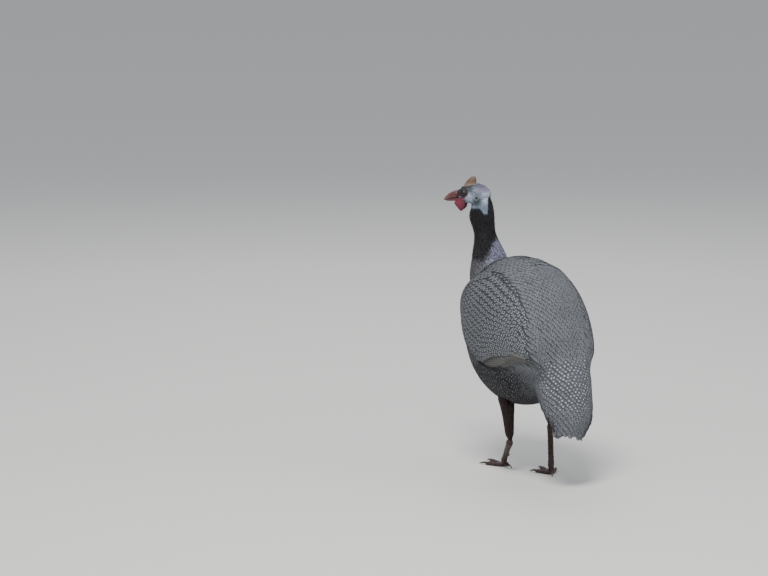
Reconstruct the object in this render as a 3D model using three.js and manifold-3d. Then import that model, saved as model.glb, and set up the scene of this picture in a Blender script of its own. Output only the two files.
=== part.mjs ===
// A helmeted guineafowl, life size, in mid-stride with its head turned to its left.
// Millimetres. X is the bird's left, Y its rear, Z up. The floor is Z = 0, and the
// group is shifted at the end so that its origin is the middle of the floor under it.
import * as THREE from "three";
import { mergeVertices } from "three/addons/utils/BufferGeometryUtils.js";
import Module from "manifold-3d";

const wasm = await Module();
wasm.setup();

// Driving sizes of an adult bird
const GAP = 0.35; // clearance between neighbouring pieces
const WELD = 1e-3; // vertices closer than this are one
const SHANK = 75; // tarsus, from hock to toe base
const MIDDLE_TOE = 47; // without its claw
const EYE_RADIUS = 5.4;
const EYE_SEAT = [9.6, -38.5, 3.4]; // left eye, on the head's own axes
const HEAD_YAW = 58; // degrees that the head is turned to the bird's left
const HEAD_PITCH = 4; // degrees that the bill points below level
const NAPE = [6, -136, 437]; // back end of the head
const LEFT_TOE_BASE = [23, -30]; // on the floor, leading foot
const RIGHT_TOE_BASE = [-23, 57]; // on the floor, trailing foot

const vector = (p) => new THREE.Vector3(...p);
const curve = (points) => new THREE.CatmullRomCurve3(points.map(vector), false, "catmullrom", 0.5);
const radians = THREE.MathUtils.degToRad;
const degrees = THREE.MathUtils.radToDeg;
const mix = THREE.MathUtils.lerp;
const step = THREE.MathUtils.smoothstep;

// A sphere whose vertices are moved by place(along, turn, rim): along runs 0 to 1 from pole
// to pole, turn is the angle round the axis, and rim is 0 at the poles and 1 between them.
function warpedSphere(around, rings, place, blunt = [0.5, 0.5]) {
  const geometry = new THREE.SphereGeometry(1, around, rings);
  const position = geometry.getAttribute("position");
  for (let i = 0; i < position.count; i++) {
    const [x, y, z] = [position.getX(i), position.getY(i), position.getZ(i)];
    const along = THREE.MathUtils.clamp((1 - y) / 2, 0, 1);
    const fromEnd = along < 0.5 ? along / blunt[0] : (1 - along) / blunt[1];
    const rim = Math.sqrt(Math.max(0, 1 - (1 - Math.min(1, fromEnd)) ** 2));
    const pole = Math.hypot(x, z) < 1e-6;
    const p = place(along, pole ? 0 : Math.atan2(z, x), pole ? 0 : rim);
    position.setXYZ(i, p.x, p.y, p.z);
  }
  geometry.deleteAttribute("normal");
  geometry.deleteAttribute("uv");
  return mergeVertices(geometry, WELD);
}

// The side and up directions of a path's cross-section
function sectionAxes(path, along, upHint) {
  const tangent = path.getTangent(along);
  const up = vector(upHint).addScaledVector(tangent, -vector(upHint).dot(tangent)).normalize();
  return { tangent, up, side: new THREE.Vector3().crossVectors(up, tangent) };
}

// A point on a rounded body: girth's x, y and z are the half width and the reach above and
// below the path. Turn 90 degrees is up. grow thickens it, and lengthens it at both ends.
function bodyPoint({ path, girth, up = [0, 0, 1], square = 1, grow = 0 }, along, turn, rim = 1) {
  const axes = sectionAxes(path, along, typeof up === "function" ? up(along) : up);
  const size = girth.getPoint(along);
  const soften = (v) => Math.sign(v) * Math.abs(v) ** square;
  const across = soften(Math.cos(turn)) * (size.x * rim + grow * Math.sign(rim));
  const reach = Math.sin(turn) > 0 ? size.y : size.z;
  const high = soften(Math.sin(turn)) * (reach * rim + grow * Math.sign(rim));
  return path
    .getPoint(along)
    .addScaledVector(axes.side, across)
    .addScaledVector(axes.up, high)
    .addScaledVector(axes.tangent, grow * (2 * along - 1));
}

function body(spec, grow = 0) {
  const grown = { ...spec, grow };
  return warpedSphere(spec.around, spec.rings, (a, t, r) => bodyPoint(grown, a, t, r), spec.blunt);
}

// Booleans
function solid(geometry) {
  const merged = mergeVertices(geometry, WELD);
  return new wasm.Manifold(
    new wasm.Mesh({
      numProp: 3,
      vertProperties: merged.getAttribute("position").array,
      triVerts: new Uint32Array(merged.index.array),
    }),
  );
}

function geometryOf(manifold) {
  const mesh = manifold.getMesh();
  return new THREE.BufferGeometry()
    .setAttribute("position", new THREE.BufferAttribute(mesh.vertProperties, 3))
    .setIndex(new THREE.BufferAttribute(mesh.triVerts, 1));
}

// Cuts pieces away, and drops any sliver that the cuts leave loose
function carved(geometry, ...cutters) {
  const left = cutters.reduce((rest, cutter) => rest.subtract(solid(cutter)), solid(geometry));
  const bodies = left.decompose().sort((a, b) => b.volume() - a.volume());
  return geometryOf(bodies[0]);
}
const joined = (...geometries) =>
  geometryOf(geometries.map(solid).reduce((all, next) => all.add(next)));
const moved = (geometry, matrix) => geometry.clone().applyMatrix4(matrix);

// The trunk, from the breast to the vent
const TRUNK = {
  path: curve([
    [14, -130, 256],
    [10, -94, 250],
    [5, -48, 240],
    [1, 0, 226],
    [0, 48, 210],
    [0, 94, 188],
    [0, 138, 154],
  ]),
  girth: curve([
    [46, 56, 66],
    [64, 90, 96],
    [75, 113, 116],
    [79, 126, 121],
    [75.5, 120, 110],
    [65, 98, 84],
    [50, 60, 46],
  ]),
  blunt: [0.3, 0.26],
  square: 0.89,
  around: 28,
  rings: 18,
};

// The neck, from inside the breast up to the nape
const NECK = {
  path: curve([
    [13, -76, 268],
    [16, -100, 300],
    [12.5, -118, 333],
    [13, -131, 368],
    [12.5, -136, 400],
    [13, -137.5, 438],
  ]),
  girth: curve([
    [40, 42, 42],
    [36, 40, 38],
    [28.5, 31, 31],
    [17, 18, 20],
    [16, 17, 18],
    [15, 17, 18],
  ]),
  up: (along) => [-0.85 * along * along, 1 - 0.45 * along, 0.4],
  blunt: [0.2, 0.2],
  around: 24,
  rings: 18,
};

// The loose feathered throat, which hangs under the jaw on the bill's side of the neck
const THROAT = {
  path: curve([
    [25.5, -145.5, 422],
    [25.5, -145.5, 401],
    [21, -143, 385],
    [16, -138, 369],
  ]),
  girth: curve([
    [11, 12, 10],
    [10.5, 12, 10],
    [10.5, 11.5, 10],
    [8, 8, 8],
  ]),
  up: [0.848, -0.53, 0.1],
  blunt: [0.25, 0.25],
  around: 16,
  rings: 10,
};

// A folded wing lies on the flank: its outline is drawn round the trunk's own section.
// side is 1 for the left wing and -1 for the right.
const WING = {
  start: 0.13, // share of the trunk's length at the bend of the wing
  end: 0.97,
  middle: curve([
    [20, 0, 0],
    [18, 0, 0],
    [19, 0, 0],
    [22, 0, 0],
    [37, 0, 0],
  ]),
  half: curve([
    [24, 0, 0],
    [36, 0, 0],
    [41, 0, 0],
    [42, 0, 0],
    [26, 0, 0],
  ]),
  proud: 2.5,
  thick: 5.5,
};
const FLANK = 100; // mean radius of the trunk, which turns a clearance into an angle
const TRUNK_LENGTH = 300;

function wing(side, grow = 0) {
  return warpedSphere(
    18,
    16,
    (along, turn, rim) => {
      const station = mix(WING.start, WING.end, along) + (grow / TRUNK_LENGTH) * (2 * along - 1);
      const reach = WING.half.getPoint(along).x * rim + degrees(grow / FLANK) * Math.sign(rim);
      const climb = WING.middle.getPoint(along).x + reach * Math.cos(turn);
      const across = (WING.thick * rim + grow) * Math.sin(turn) * side;
      const out = WING.proud * Math.min(1, rim * 1.4) + across;
      const round = side > 0 ? 180 - climb : climb;
      return bodyPoint({ ...TRUNK, grow: out }, station, radians(round));
    },
    [0.3, 0.55],
  );
}

// The tail hangs from the rump as a folded roof of feathers
const TAIL = {
  path: curve([
    [0, 84, 222],
    [-10, 122, 196],
    [-8, 152, 160],
    [-4, 173, 121],
    [9, 186, 85],
  ]),
  width: curve([
    [38, 44, 0],
    [51, 38, 0],
    [48, 28, 0],
    [42, 17, 0],
    [28, 8, 0],
  ]),
  roof: 0.42, // how far the sides hang below the ridge, as a share of the half width
};

function tail(grow = 0) {
  return warpedSphere(
    22,
    14,
    (along, turn, rim) => {
      const axes = sectionAxes(TAIL.path, along, [0, 1, 0.6]);
      const size = TAIL.width.getPoint(along);
      const across = Math.cos(turn) * (size.x * rim + grow * Math.sign(rim));
      const high = Math.sin(turn) * (size.y * rim + grow * Math.sign(rim));
      const hang = TAIL.roof * (across * across) / Math.max(size.x, 1);
      return TAIL.path
        .getPoint(along)
        .addScaledVector(axes.side, across)
        .addScaledVector(axes.up, high - hang)
        .addScaledVector(axes.tangent, grow * (2 * along - 1));
    },
    [0.3, 0.2],
  );
}

// The head is made along its own axis: X left, Y back from the bill, Z up, with the nape at 0
const HEAD = {
  path: curve([
    [0, 4.5, -3],
    [0, -8, -1],
    [0, -20, 1],
    [0, -31, 1.5],
    [0, -42, 0],
    [0, -53, -2.5],
  ]),
  girth: curve([
    [12, 12, 16],
    [15, 15.5, 20],
    [15.5, 16, 19.5],
    [14.5, 14.5, 16],
    [11.5, 11.5, 13.5],
    [8, 8, 8.5],
  ]),
  blunt: [0.3, 0.18],
  around: 20,
  rings: 14,
};

const CASQUE = {
  path: curve([
    [0, -29, 8],
    [0, -27.5, 15],
    [0, -25, 22],
    [0, -20.5, 29],
  ]),
  girth: curve([
    [7, 13, 14],
    [6.2, 10.5, 11],
    [4.6, 6.8, 7],
    [2.6, 3.4, 3.4],
  ]),
  up: [0, 1, 0],
  blunt: [0.25, 0.2],
  around: 12,
  rings: 8,
};

const UPPER_BILL = {
  path: curve([
    [0, -48, 0.8],
    [0, -57, 0],
    [0, -66, -2.4],
    [0, -74.5, -7.6],
  ]),
  girth: curve([
    [7.4, 7.8, 6],
    [6.4, 6.6, 5.4],
    [4.5, 4.6, 4.2],
    [1.4, 1.4, 1.2],
  ]),
  blunt: [0.15, 0.12],
  around: 14,
  rings: 9,
};

const LOWER_BILL = {
  path: curve([
    [0, -46, -6.6],
    [0, -55, -6.6],
    [0, -63, -7],
    [0, -71, -8.4],
  ]),
  girth: curve([
    [6, 2.8, 4],
    [5.2, 2.4, 3.4],
    [3.8, 1.8, 2.5],
    [1.4, 0.8, 1],
  ]),
  blunt: [0.15, 0.15],
  around: 12,
  rings: 8,
};

// A wattle hangs from the corner of the mouth, a flat lobe as long as it is deep
function wattle(side) {
  return {
    path: curve([
      [side * 8, -50, -5],
      [side * 11, -48, -12],
      [side * 13, -46.5, -19],
      [side * 14, -46, -27],
    ]),
    girth: curve([
      [1.9, 6, 5],
      [2.1, 10, 8.6],
      [2.1, 9.6, 9],
      [1.7, 5.4, 6.2],
    ]),
    up: [0, 1, 0],
    blunt: [0.3, 0.4],
    around: 14,
    rings: 8,
  };
}

function eyeball(side, grow = 0) {
  const ball = new THREE.SphereGeometry(EYE_RADIUS + grow, 14, 10);
  ball.deleteAttribute("normal");
  ball.deleteAttribute("uv");
  const [out, ahead, high] = EYE_SEAT;
  return mergeVertices(ball.translate(side * out, ahead, high), WELD);
}

// Legs. Each hock is a point between the shank and the feathered tibia above it.
const LEGS = {
  left: { toeBase: [...LEFT_TOE_BASE, 9], hock: [37, 28, 54.7], knee: [30, -8, 158], toeOut: 4 },
  right: { toeBase: [...RIGHT_TOE_BASE, 9], hock: [-32, 33, 79.5], knee: [-36, -14, 168], toeOut: 3 },
};

function shank({ toeBase, hock }) {
  const low = vector(toeBase);
  const high = low.clone().add(vector(hock).sub(low).setLength(SHANK));
  const at = (share) => low.clone().lerp(high, share).toArray();
  return {
    path: curve([at(-0.02), at(0.22), at(0.5), at(0.78), at(1.03)]),
    girth: curve([
      [5.8, 5.2, 5.2],
      [4, 4.6, 4.6],
      [3.9, 4.7, 4.7],
      [4.4, 5, 5.4],
      [6.6, 6.8, 7.6],
    ]),
    up: [0, -1, 0.4],
    blunt: [0.12, 0.12],
    around: 12,
    rings: 10,
  };
}

function tibia({ hock, knee }) {
  const low = vector(hock);
  const at = (share) => low.clone().lerp(vector(knee), share).toArray();
  return {
    path: curve([at(0.03), at(0.2), at(0.45), at(0.72), at(1)]),
    girth: curve([
      [6.6, 7.6, 7.6],
      [7.6, 10, 10],
      [9.5, 15, 15],
      [15, 25, 24],
      [22, 34, 32],
    ]),
    up: [0, -1, 0.2],
    blunt: [0.1, 0.3],
    around: 16,
    rings: 11,
  };
}

// Toes: spread is degrees from straight ahead, towards the bird's outer side
const TOES = [
  { name: "inner", spread: -34, length: MIDDLE_TOE * 0.68, thick: 3.7 },
  { name: "middle", spread: 0, length: MIDDLE_TOE, thick: 4.1 },
  { name: "outer", spread: 33, length: MIDDLE_TOE * 0.74, thick: 3.7 },
];
const HALLUX = { name: "hind", spread: 196, length: 13, thick: 2.8, height: 8.5 };
const CLAW_LENGTH = 11;
const FRONT_CLAW_TIP = 1.3; // height over the floor
const HIND_CLAW_TIP = -0.2; // this one rests on the floor
const SOLE = 0.82; // height of a toe's middle line, as a share of its half thickness
const PADS = [1.08, 0.94, 1.06, 0.9, 1.0, 0.74]; // thickness along a toe, fuller at each joint

function toeFrame({ spread, length, thick, height }, side) {
  const turn = radians(spread) * side;
  const ahead = new THREE.Vector3(Math.sin(turn), -Math.cos(turn), 0);
  const low = thick * SOLE;
  const root = new THREE.Vector3(0, 0, height ?? low + 0.3);
  const tip = ahead.clone().multiplyScalar(length).setZ(height ? 4.6 : low * 0.9);
  return { ahead, root, tip };
}

function toe(spec, side) {
  const { root, tip } = toeFrame(spec, side);
  const at = (share) => {
    const height = mix(root.z, tip.z, step(share, 0, 0.35));
    return root.clone().lerp(tip, share).setZ(height).toArray();
  };
  const girthAt = (pad) => [0.95, 0.92, 1].map((share) => share * spec.thick * pad);
  return {
    path: curve([0, 0.2, 0.4, 0.6, 0.8, 1].map(at)),
    girth: curve(PADS.map(girthAt)),
    blunt: [0.12, 0.12],
    around: 8,
    rings: 8,
  };
}

function claw(spec, side) {
  const { ahead, tip } = toeFrame(spec, side);
  const size = spec.height ? 0.72 : 1;
  const drop = tip.z - (spec.height ? HIND_CLAW_TIP : FRONT_CLAW_TIP);
  const at = (share, rise) => {
    const point = tip.clone().addScaledVector(ahead, size * CLAW_LENGTH * share);
    return point.setZ(tip.z + rise).toArray();
  };
  const girth = [
    [1.8, 1.9, 1.8],
    [1.7, 1.8, 1.5],
    [1.1, 1.2, 1],
    [0.6, 0.6, 0.6],
  ];
  return {
    path: curve([at(-0.3, 0.4), at(0.1, 0.9), at(0.55, 0.3 - drop * 0.35), at(1, -drop)]),
    girth: curve(girth.map((row) => row.map((v) => v * size))),
    blunt: [0.15, 0.15],
    around: 7,
    rings: 6,
  };
}

// Everything under the floor is cut away, so that the toes stand on small flats
const FLOOR_SLAB = { breadth: 400, depth: 40 };

function underFloor() {
  const { breadth, depth } = FLOOR_SLAB;
  const box = new THREE.BoxGeometry(breadth, breadth, depth);
  box.deleteAttribute("normal");
  box.deleteAttribute("uv");
  return mergeVertices(box.translate(0, 0, -depth / 2), WELD);
}

// Finishes
const finish = (color, roughness) => new THREE.MeshStandardMaterial({ color, roughness, metalness: 0 });
const plumage = finish(0x6a6e72, 0.85);
const darkPlumage = finish(0x26262a, 0.9);
const faceSkin = finish(0xc6d2dc, 0.6);
const horn = finish(0xa88463, 0.45);
const billHorn = finish(0xa2504a, 0.4);
const wattleSkin = finish(0xa81f3a, 0.5);
const eyeGloss = finish(0x1c1512, 0.08);
const legScale = finish(0x3c302b, 0.55);
const clawHorn = finish(0x2c2521, 0.4);

function mesh(name, geometry, material) {
  const made = new THREE.Mesh(geometry, material);
  made.name = name;
  return made;
}

function headGroup() {
  const group = new THREE.Group();
  group.position.set(...NAPE);
  group.rotation.set(radians(HEAD_PITCH), 0, radians(HEAD_YAW), "ZYX");
  group.updateMatrix();
  const room = (spec) => body(spec, GAP);
  const bill = [room(UPPER_BILL), room(LOWER_BILL)];
  const wattles = [1, -1].map(wattle);
  const seats = [eyeball(1, GAP), eyeball(-1, GAP), ...wattles.map(room)];
  group.add(
    mesh("head", carved(body(HEAD), room(CASQUE), ...bill, ...seats), faceSkin),
    mesh("casque", body(CASQUE), horn),
    mesh("bill_upper", carved(body(UPPER_BILL), room(LOWER_BILL)), billHorn),
    mesh("bill_lower", body(LOWER_BILL), billHorn),
    mesh("wattle_left", carved(body(wattles[0]), ...bill), wattleSkin),
    mesh("wattle_right", carved(body(wattles[1]), ...bill), wattleSkin),
    mesh("eye_left", eyeball(1), eyeGloss),
    mesh("eye_right", eyeball(-1), eyeGloss),
  );
  return group;
}

function legPieces(name, side, leg, trunkSide) {
  const upper = tibia(leg);
  const lower = shank(leg);
  const foot = new THREE.Group();
  foot.position.set(leg.toeBase[0], leg.toeBase[1], 0);
  foot.rotation.z = radians(leg.toeOut * side);
  foot.updateMatrix();
  const toFoot = foot.matrix.clone().invert();
  const bodyOfToe = (spec, gap) => body(toe(spec, side), gap);
  const roomOfClaw = (spec) => body(claw(spec, side), GAP);
  const shankRoom = joined(moved(body(lower, GAP), toFoot), bodyOfToe(HALLUX, GAP));
  const frontToes = joined(...TOES.map((spec) => bodyOfToe(spec)));
  const frontCuts = [...TOES.map(roomOfClaw), shankRoom, underFloor()];
  foot.add(mesh(`foot_${name}`, carved(frontToes, ...frontCuts), legScale));
  [...TOES, HALLUX].forEach((spec) => {
    const trimmed = carved(body(claw(spec, side)), underFloor());
    foot.add(mesh(`claw_${name}_${spec.name}`, trimmed, clawHorn));
  });
  // The hind toe grows out of the shank, above the front toes
  const shankAndHindToe = joined(body(lower), moved(bodyOfToe(HALLUX), foot.matrix));
  const shankCuts = [moved(roomOfClaw(HALLUX), foot.matrix), underFloor()];
  return [
    mesh(`thigh_${name}`, carved(body(upper), ...trunkSide, body(lower, GAP)), darkPlumage),
    mesh(`shank_${name}`, carved(shankAndHindToe, ...shankCuts), legScale),
    foot,
  ];
}

const head = headGroup();
const bird = new THREE.Group();
const trunkGrown = body(TRUNK, GAP);
const wings = { left: wing(1, GAP), right: wing(-1, GAP) };
const headRoom = moved(body(HEAD, GAP), head.matrix);
const neckAndThroat = joined(body(NECK), body(THROAT));
bird.add(
  mesh("trunk", carved(body(TRUNK), wings.left, wings.right, tail(GAP)), plumage),
  mesh("wing_left", carved(wing(1), tail(GAP)), plumage),
  mesh("wing_right", carved(wing(-1), tail(GAP)), plumage),
  mesh("tail", tail(), plumage),
  mesh("neck", carved(neckAndThroat, trunkGrown, wings.left, wings.right, headRoom), darkPlumage),
  head,
  ...legPieces("left", 1, LEGS.left, [trunkGrown, wings.left]),
  ...legPieces("right", -1, LEGS.right, [trunkGrown, wings.right]),
);

// The origin is the middle of the floor under the bird's box
bird.updateMatrixWorld(true);
const extent = new THREE.Box3().setFromObject(bird, true);
const middle = extent.getCenter(new THREE.Vector3());
bird.position.set(-middle.x, -middle.y, -extent.min.z);

export default bird;
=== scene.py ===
import math

import bmesh
import bpy
import numpy as np
from mathutils import Matrix, Vector
from mathutils.bvhtree import BVHTree


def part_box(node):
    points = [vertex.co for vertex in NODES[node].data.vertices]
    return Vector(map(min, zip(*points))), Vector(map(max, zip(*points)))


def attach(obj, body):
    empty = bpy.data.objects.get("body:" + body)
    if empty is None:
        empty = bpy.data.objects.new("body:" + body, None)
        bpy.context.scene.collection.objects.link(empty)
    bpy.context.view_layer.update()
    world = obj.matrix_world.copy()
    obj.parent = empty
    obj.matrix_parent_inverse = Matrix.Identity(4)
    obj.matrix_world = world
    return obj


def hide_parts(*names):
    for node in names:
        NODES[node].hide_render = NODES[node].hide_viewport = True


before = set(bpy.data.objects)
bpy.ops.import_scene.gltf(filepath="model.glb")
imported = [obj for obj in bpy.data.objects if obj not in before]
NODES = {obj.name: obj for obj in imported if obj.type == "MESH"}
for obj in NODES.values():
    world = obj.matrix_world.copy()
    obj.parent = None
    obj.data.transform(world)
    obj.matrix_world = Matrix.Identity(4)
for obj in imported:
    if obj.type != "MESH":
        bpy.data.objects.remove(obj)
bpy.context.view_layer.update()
MM = 0.001
SEED = 7

# Where the head sits and how it is turned, from its two eyes
HEAD_YAW = math.radians(58)
HEAD_PITCH = math.radians(4)
EYE_RADIUS = 5.4 * MM
EYE_SEAT = np.array([9.6, -38.5, 3.4]) * MM  # left eye on the head's own axes

# Coat: how deep it lies over the skin
BODY_COAT = 3.2 * MM
NECK_COAT = 2.4 * MM
THIGH_COAT = 2.2 * MM

# The middle line that the feather rows are laid round, from the head's base to the tail
COAT_AXIS = np.array([
    [15, -139, 446], [14, -138, 429], [13, -136, 400], [13, -131, 368], [13, -118, 333],
    [14, -99, 300], [12, -72, 268], [6, -34, 241], [1, 8, 222], [-1, 50, 202],
    [-2, 88, 180], [-5, 118, 156], [-7, 142, 130], [-5, 159, 104], [1, 169, 80],
]) * MM

# Colours, linear
SLATE = (0.100, 0.107, 0.121)
# painted shade, laid low on the body and in the parting down the back
SHADE_SLATE = (0.052, 0.055, 0.061)
BLACK_DOWN = (0.009, 0.009, 0.011)
LILAC = (0.21, 0.215, 0.30)
BROWN_LILAC = (0.062, 0.050, 0.056)
BROWN_GREY = (0.078, 0.077, 0.073)
THIGH_BROWN = (0.026, 0.014, 0.011)
SPOT_WHITE = (0.44, 0.46, 0.49)
SPOT_GREY = (0.26, 0.272, 0.295)
RING_DARK = (0.040, 0.043, 0.048)
PALE_SKIN = (0.21, 0.255, 0.335)
BRIGHT_SKIN = (0.50, 0.58, 0.70)
BLUE_SKIN = (0.13, 0.175, 0.26)
GREY_SKIN = (0.095, 0.125, 0.12)
LILAC_SKIN = (0.17, 0.155, 0.24)
DARK_SKIN = (0.010, 0.009, 0.010)
CROWN_DARK = (0.030, 0.034, 0.034)
MAROON = (0.055, 0.007, 0.011)
WATTLE_RED = (0.150, 0.002, 0.025)
WATTLE_DARK = (0.045, 0.001, 0.007)
BILL_RED = (0.100, 0.018, 0.026)
BILL_TIP = (0.17, 0.080, 0.078)
CASQUE_HORN = (0.12, 0.060, 0.034)
CASQUE_FOOT = (0.25, 0.20, 0.155)
LEG_BROWN = (0.042, 0.020, 0.015)
CLAW_DARK = (0.030, 0.023, 0.019)

rng = np.random.default_rng(SEED)


# Small helpers on arrays of points and triangles

def unit(v):
    return v / np.maximum(np.linalg.norm(v, axis=-1, keepdims=True), 1e-12)


def smoothstep(x, low, high):
    t = np.clip((x - low) / (high - low), 0, 1)
    return t * t * (3 - 2 * t)


def blend(a, b, share):
    share = np.asarray(share)[..., None]
    return np.asarray(a) * (1 - share) + np.asarray(b) * share


def layered(count, ground, layers):
    """Colours for many places: one ground, and hues laid over it, each by its share."""
    colour = np.tile(ground, (count, 1))
    for hue, share in layers:
        colour = blend(colour, hue, share)
    return colour


def read_mesh(mesh):
    mesh.calc_loop_triangles()
    points = np.empty(len(mesh.vertices) * 3)
    mesh.vertices.foreach_get("co", points)
    triangles = np.empty(len(mesh.loop_triangles) * 3, np.int32)
    mesh.loop_triangles.foreach_get("vertices", triangles)
    return points.reshape(-1, 3), triangles.reshape(-1, 3)


def welded(points, triangles):
    _, first, same = np.unique(np.round(points, 7), axis=0, return_index=True, return_inverse=True)
    triangles = same.ravel()[triangles]
    a, b, c = triangles.T
    return points[first], triangles[(a != b) & (b != c) & (a != c)]


def vertex_normals(points, triangles):
    corners = points[triangles]
    faces = np.cross(corners[:, 1] - corners[:, 0], corners[:, 2] - corners[:, 0])
    total = np.zeros_like(points)
    for k in range(3):
        for axis in range(3):
            total[:, axis] += np.bincount(triangles[:, k], faces[:, axis], len(points))
    return unit(total)


def relaxed(points, triangles, rounds, amount=0.6):
    """Smooths a surface, or any values on its vertices."""
    edges = np.vstack([triangles[:, [0, 1]], triangles[:, [1, 2]], triangles[:, [2, 0]]])
    a, b = np.unique(np.sort(edges, axis=1), axis=0).T
    count = np.bincount(a, minlength=len(points)) + np.bincount(b, minlength=len(points))
    count = np.maximum(count, 1)
    values = points.reshape(len(points), -1).copy()
    for _ in range(rounds):
        for axis in range(values.shape[1]):
            column = values[:, axis]
            mean = (np.bincount(a, column[b], len(column)) + np.bincount(b, column[a], len(column))) / count
            values[:, axis] = column + amount * (mean - column)
    return values.reshape(points.shape)


def make_mesh(name, points, triangles, slots=None):
    mesh = bpy.data.meshes.new(name)
    mesh.vertices.add(len(points))
    mesh.vertices.foreach_set("co", np.ascontiguousarray(points, np.float32).ravel())
    mesh.loops.add(len(triangles) * 3)
    mesh.loops.foreach_set("vertex_index", np.ascontiguousarray(triangles, np.int32).ravel())
    mesh.polygons.add(len(triangles))
    mesh.polygons.foreach_set("loop_start", np.arange(0, len(triangles) * 3, 3, dtype=np.int32))
    if slots is not None:
        mesh.polygons.foreach_set("material_index", np.ascontiguousarray(slots, np.int32))
    mesh.update(calc_edges=True)
    mesh.shade_smooth()
    return mesh


def make_object(name, data):
    obj = bpy.data.objects.new(name, data)
    bpy.context.scene.collection.objects.link(obj)
    return obj


def evaluated(obj, kind, settings):
    """The points and triangles of a throw-away object after one modifier."""
    modifier = obj.modifiers.new(kind, kind)
    for key, value in settings.items():
        setattr(modifier, key, value)
    graph = bpy.context.evaluated_depsgraph_get()
    mesh = bpy.data.meshes.new_from_object(obj.evaluated_get(graph))
    result = read_mesh(mesh)
    old = obj.data
    bpy.data.objects.remove(obj)
    bpy.data.meshes.remove(old)
    bpy.data.meshes.remove(mesh)
    return result


def node_points(name):
    return welded(*read_mesh(NODES[name].data))


def gathered(names, swell=0.0):
    """The named solids' points and triangles in one list, and which solid each triangle is of."""
    all_points, all_triangles, owner, start = [], [], [], 0
    for k, name in enumerate(names):
        points, triangles = node_points(name)
        all_points.append(points + swell * vertex_normals(points, triangles))
        all_triangles.append(triangles + start)
        owner += [k] * len(triangles)
        start += len(points)
    return np.vstack(all_points), np.vstack(all_triangles), np.array(owner)


def united(names, voxel, swell=0.4 * MM):
    """The named solids, swollen so that they join, as one closed surface."""
    obj = make_object("union", make_mesh("union", *gathered(names, swell)[:2]))
    return evaluated(obj, "REMESH", {"mode": "VOXEL", "voxel_size": voxel, "adaptivity": 0.0})


def tree_of(points, triangles):
    return BVHTree.FromPolygons(points.tolist(), triangles.tolist())


def set_attribute(mesh, name, values):
    """Puts one number or one colour on each vertex."""
    values = np.asarray(values, np.float32)
    if values.ndim == 1:
        mesh.attributes.new(name, "FLOAT", "POINT").data.foreach_set("value", values)
        return
    rgba = np.ones((len(values), 4), np.float32)
    rgba[:, :3] = values
    mesh.attributes.new(name, "FLOAT_COLOR", "POINT").data.foreach_set("color", rgba.ravel())


# Materials

class Value:
    """A socket that takes part in sums, so that shader maths reads as maths."""

    def __init__(self, tree, socket):
        self.tree = tree
        self.socket = socket

    def math(self, operation, other=None, flip=False):
        ends = [other, self] if flip else [self, other]
        inputs = {k: v for k, v in enumerate(ends) if v is not None}
        return self.tree.node("ShaderNodeMath", {"operation": operation}, inputs)

    def __add__(self, other):
        return self.math("ADD", other)

    def __sub__(self, other):
        return self.math("SUBTRACT", other)

    def __rsub__(self, other):
        return self.math("SUBTRACT", other, flip=True)

    def __mul__(self, other):
        return self.math("MULTIPLY", other)

    __radd__ = __add__
    __rmul__ = __mul__

    def clamped(self, low, high):
        """0 at low, 1 at high, smooth between."""
        ends = {"Value": self, "From Min": low, "From Max": high}
        return self.tree.node("ShaderNodeMapRange", {"interpolation_type": "SMOOTHSTEP"}, ends)


class Finish:
    """One node material, with its shader's own sockets set in constants."""

    def __init__(self, name, roughness, specular=0.5, **constants):
        self.material = bpy.data.materials.new(name)
        self.material.use_nodes = True
        self.nodes = self.material.node_tree.nodes
        self.links = self.material.node_tree.links
        self.shader = self.nodes["Principled BSDF"]
        self.shader.inputs["Roughness"].default_value = roughness
        self.shader.inputs["Specular IOR Level"].default_value = specular
        for key, value in constants.items():
            self.shader.inputs[key.replace("_", " ")].default_value = value

    def node(self, kind, settings=None, inputs=None, output=0):
        made = self.nodes.new(kind)
        for key, value in (settings or {}).items():
            if key == "stops":
                self.set_stops(made.color_ramp, value)
            else:
                setattr(made, key, value)
        for key, value in (inputs or {}).items():
            self.feed(made.inputs[key], value)
        return Value(self, made.outputs[output])

    def feed(self, socket, value):
        if isinstance(value, Value):
            self.links.new(value.socket, socket)
        elif socket.type == "RGBA" and len(value) == 3:
            socket.default_value = (*value, 1)
        else:
            socket.default_value = value

    @staticmethod
    def set_stops(ramp, stops):
        while len(ramp.elements) < len(stops):
            ramp.elements.new(1.0)
        for element, (place, colour) in zip(ramp.elements, stops):
            element.position = place
            element.color = (*colour, 1)

    def attribute(self, name, output="Color"):
        return self.node("ShaderNodeAttribute", {"attribute_name": name}, output=output)

    def here(self):
        """Object coordinates, in metres."""
        return self.node("ShaderNodeTexCoord", output="Object")

    def noise(self, scale, detail):
        inputs = {"Vector": self.here(), "Scale": scale, "Detail": detail}
        return self.node("ShaderNodeTexNoise", None, inputs)

    def mixed(self, factor, a, b, mode="MIX"):
        inputs = {"Factor": factor, 6: a, 7: b}
        return self.node("ShaderNodeMix", {"data_type": "RGBA", "blend_type": mode}, inputs, output=2)

    def colour(self, value):
        self.feed(self.shader.inputs["Base Color"], value)

    def roughness(self, value):
        self.feed(self.shader.inputs["Roughness"], value)

    def bump(self, height, strength, distance):
        inputs = {"Height": height, "Strength": strength, "Distance": distance}
        self.feed(self.shader.inputs["Normal"], self.node("ShaderNodeBump", None, inputs))


def plain(name, colour, roughness, **constants):
    """A constant finish for spots so small that a pattern on them is never seen."""
    made = Finish(name, roughness, **constants)
    made.colour(colour)
    return made.material


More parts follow.
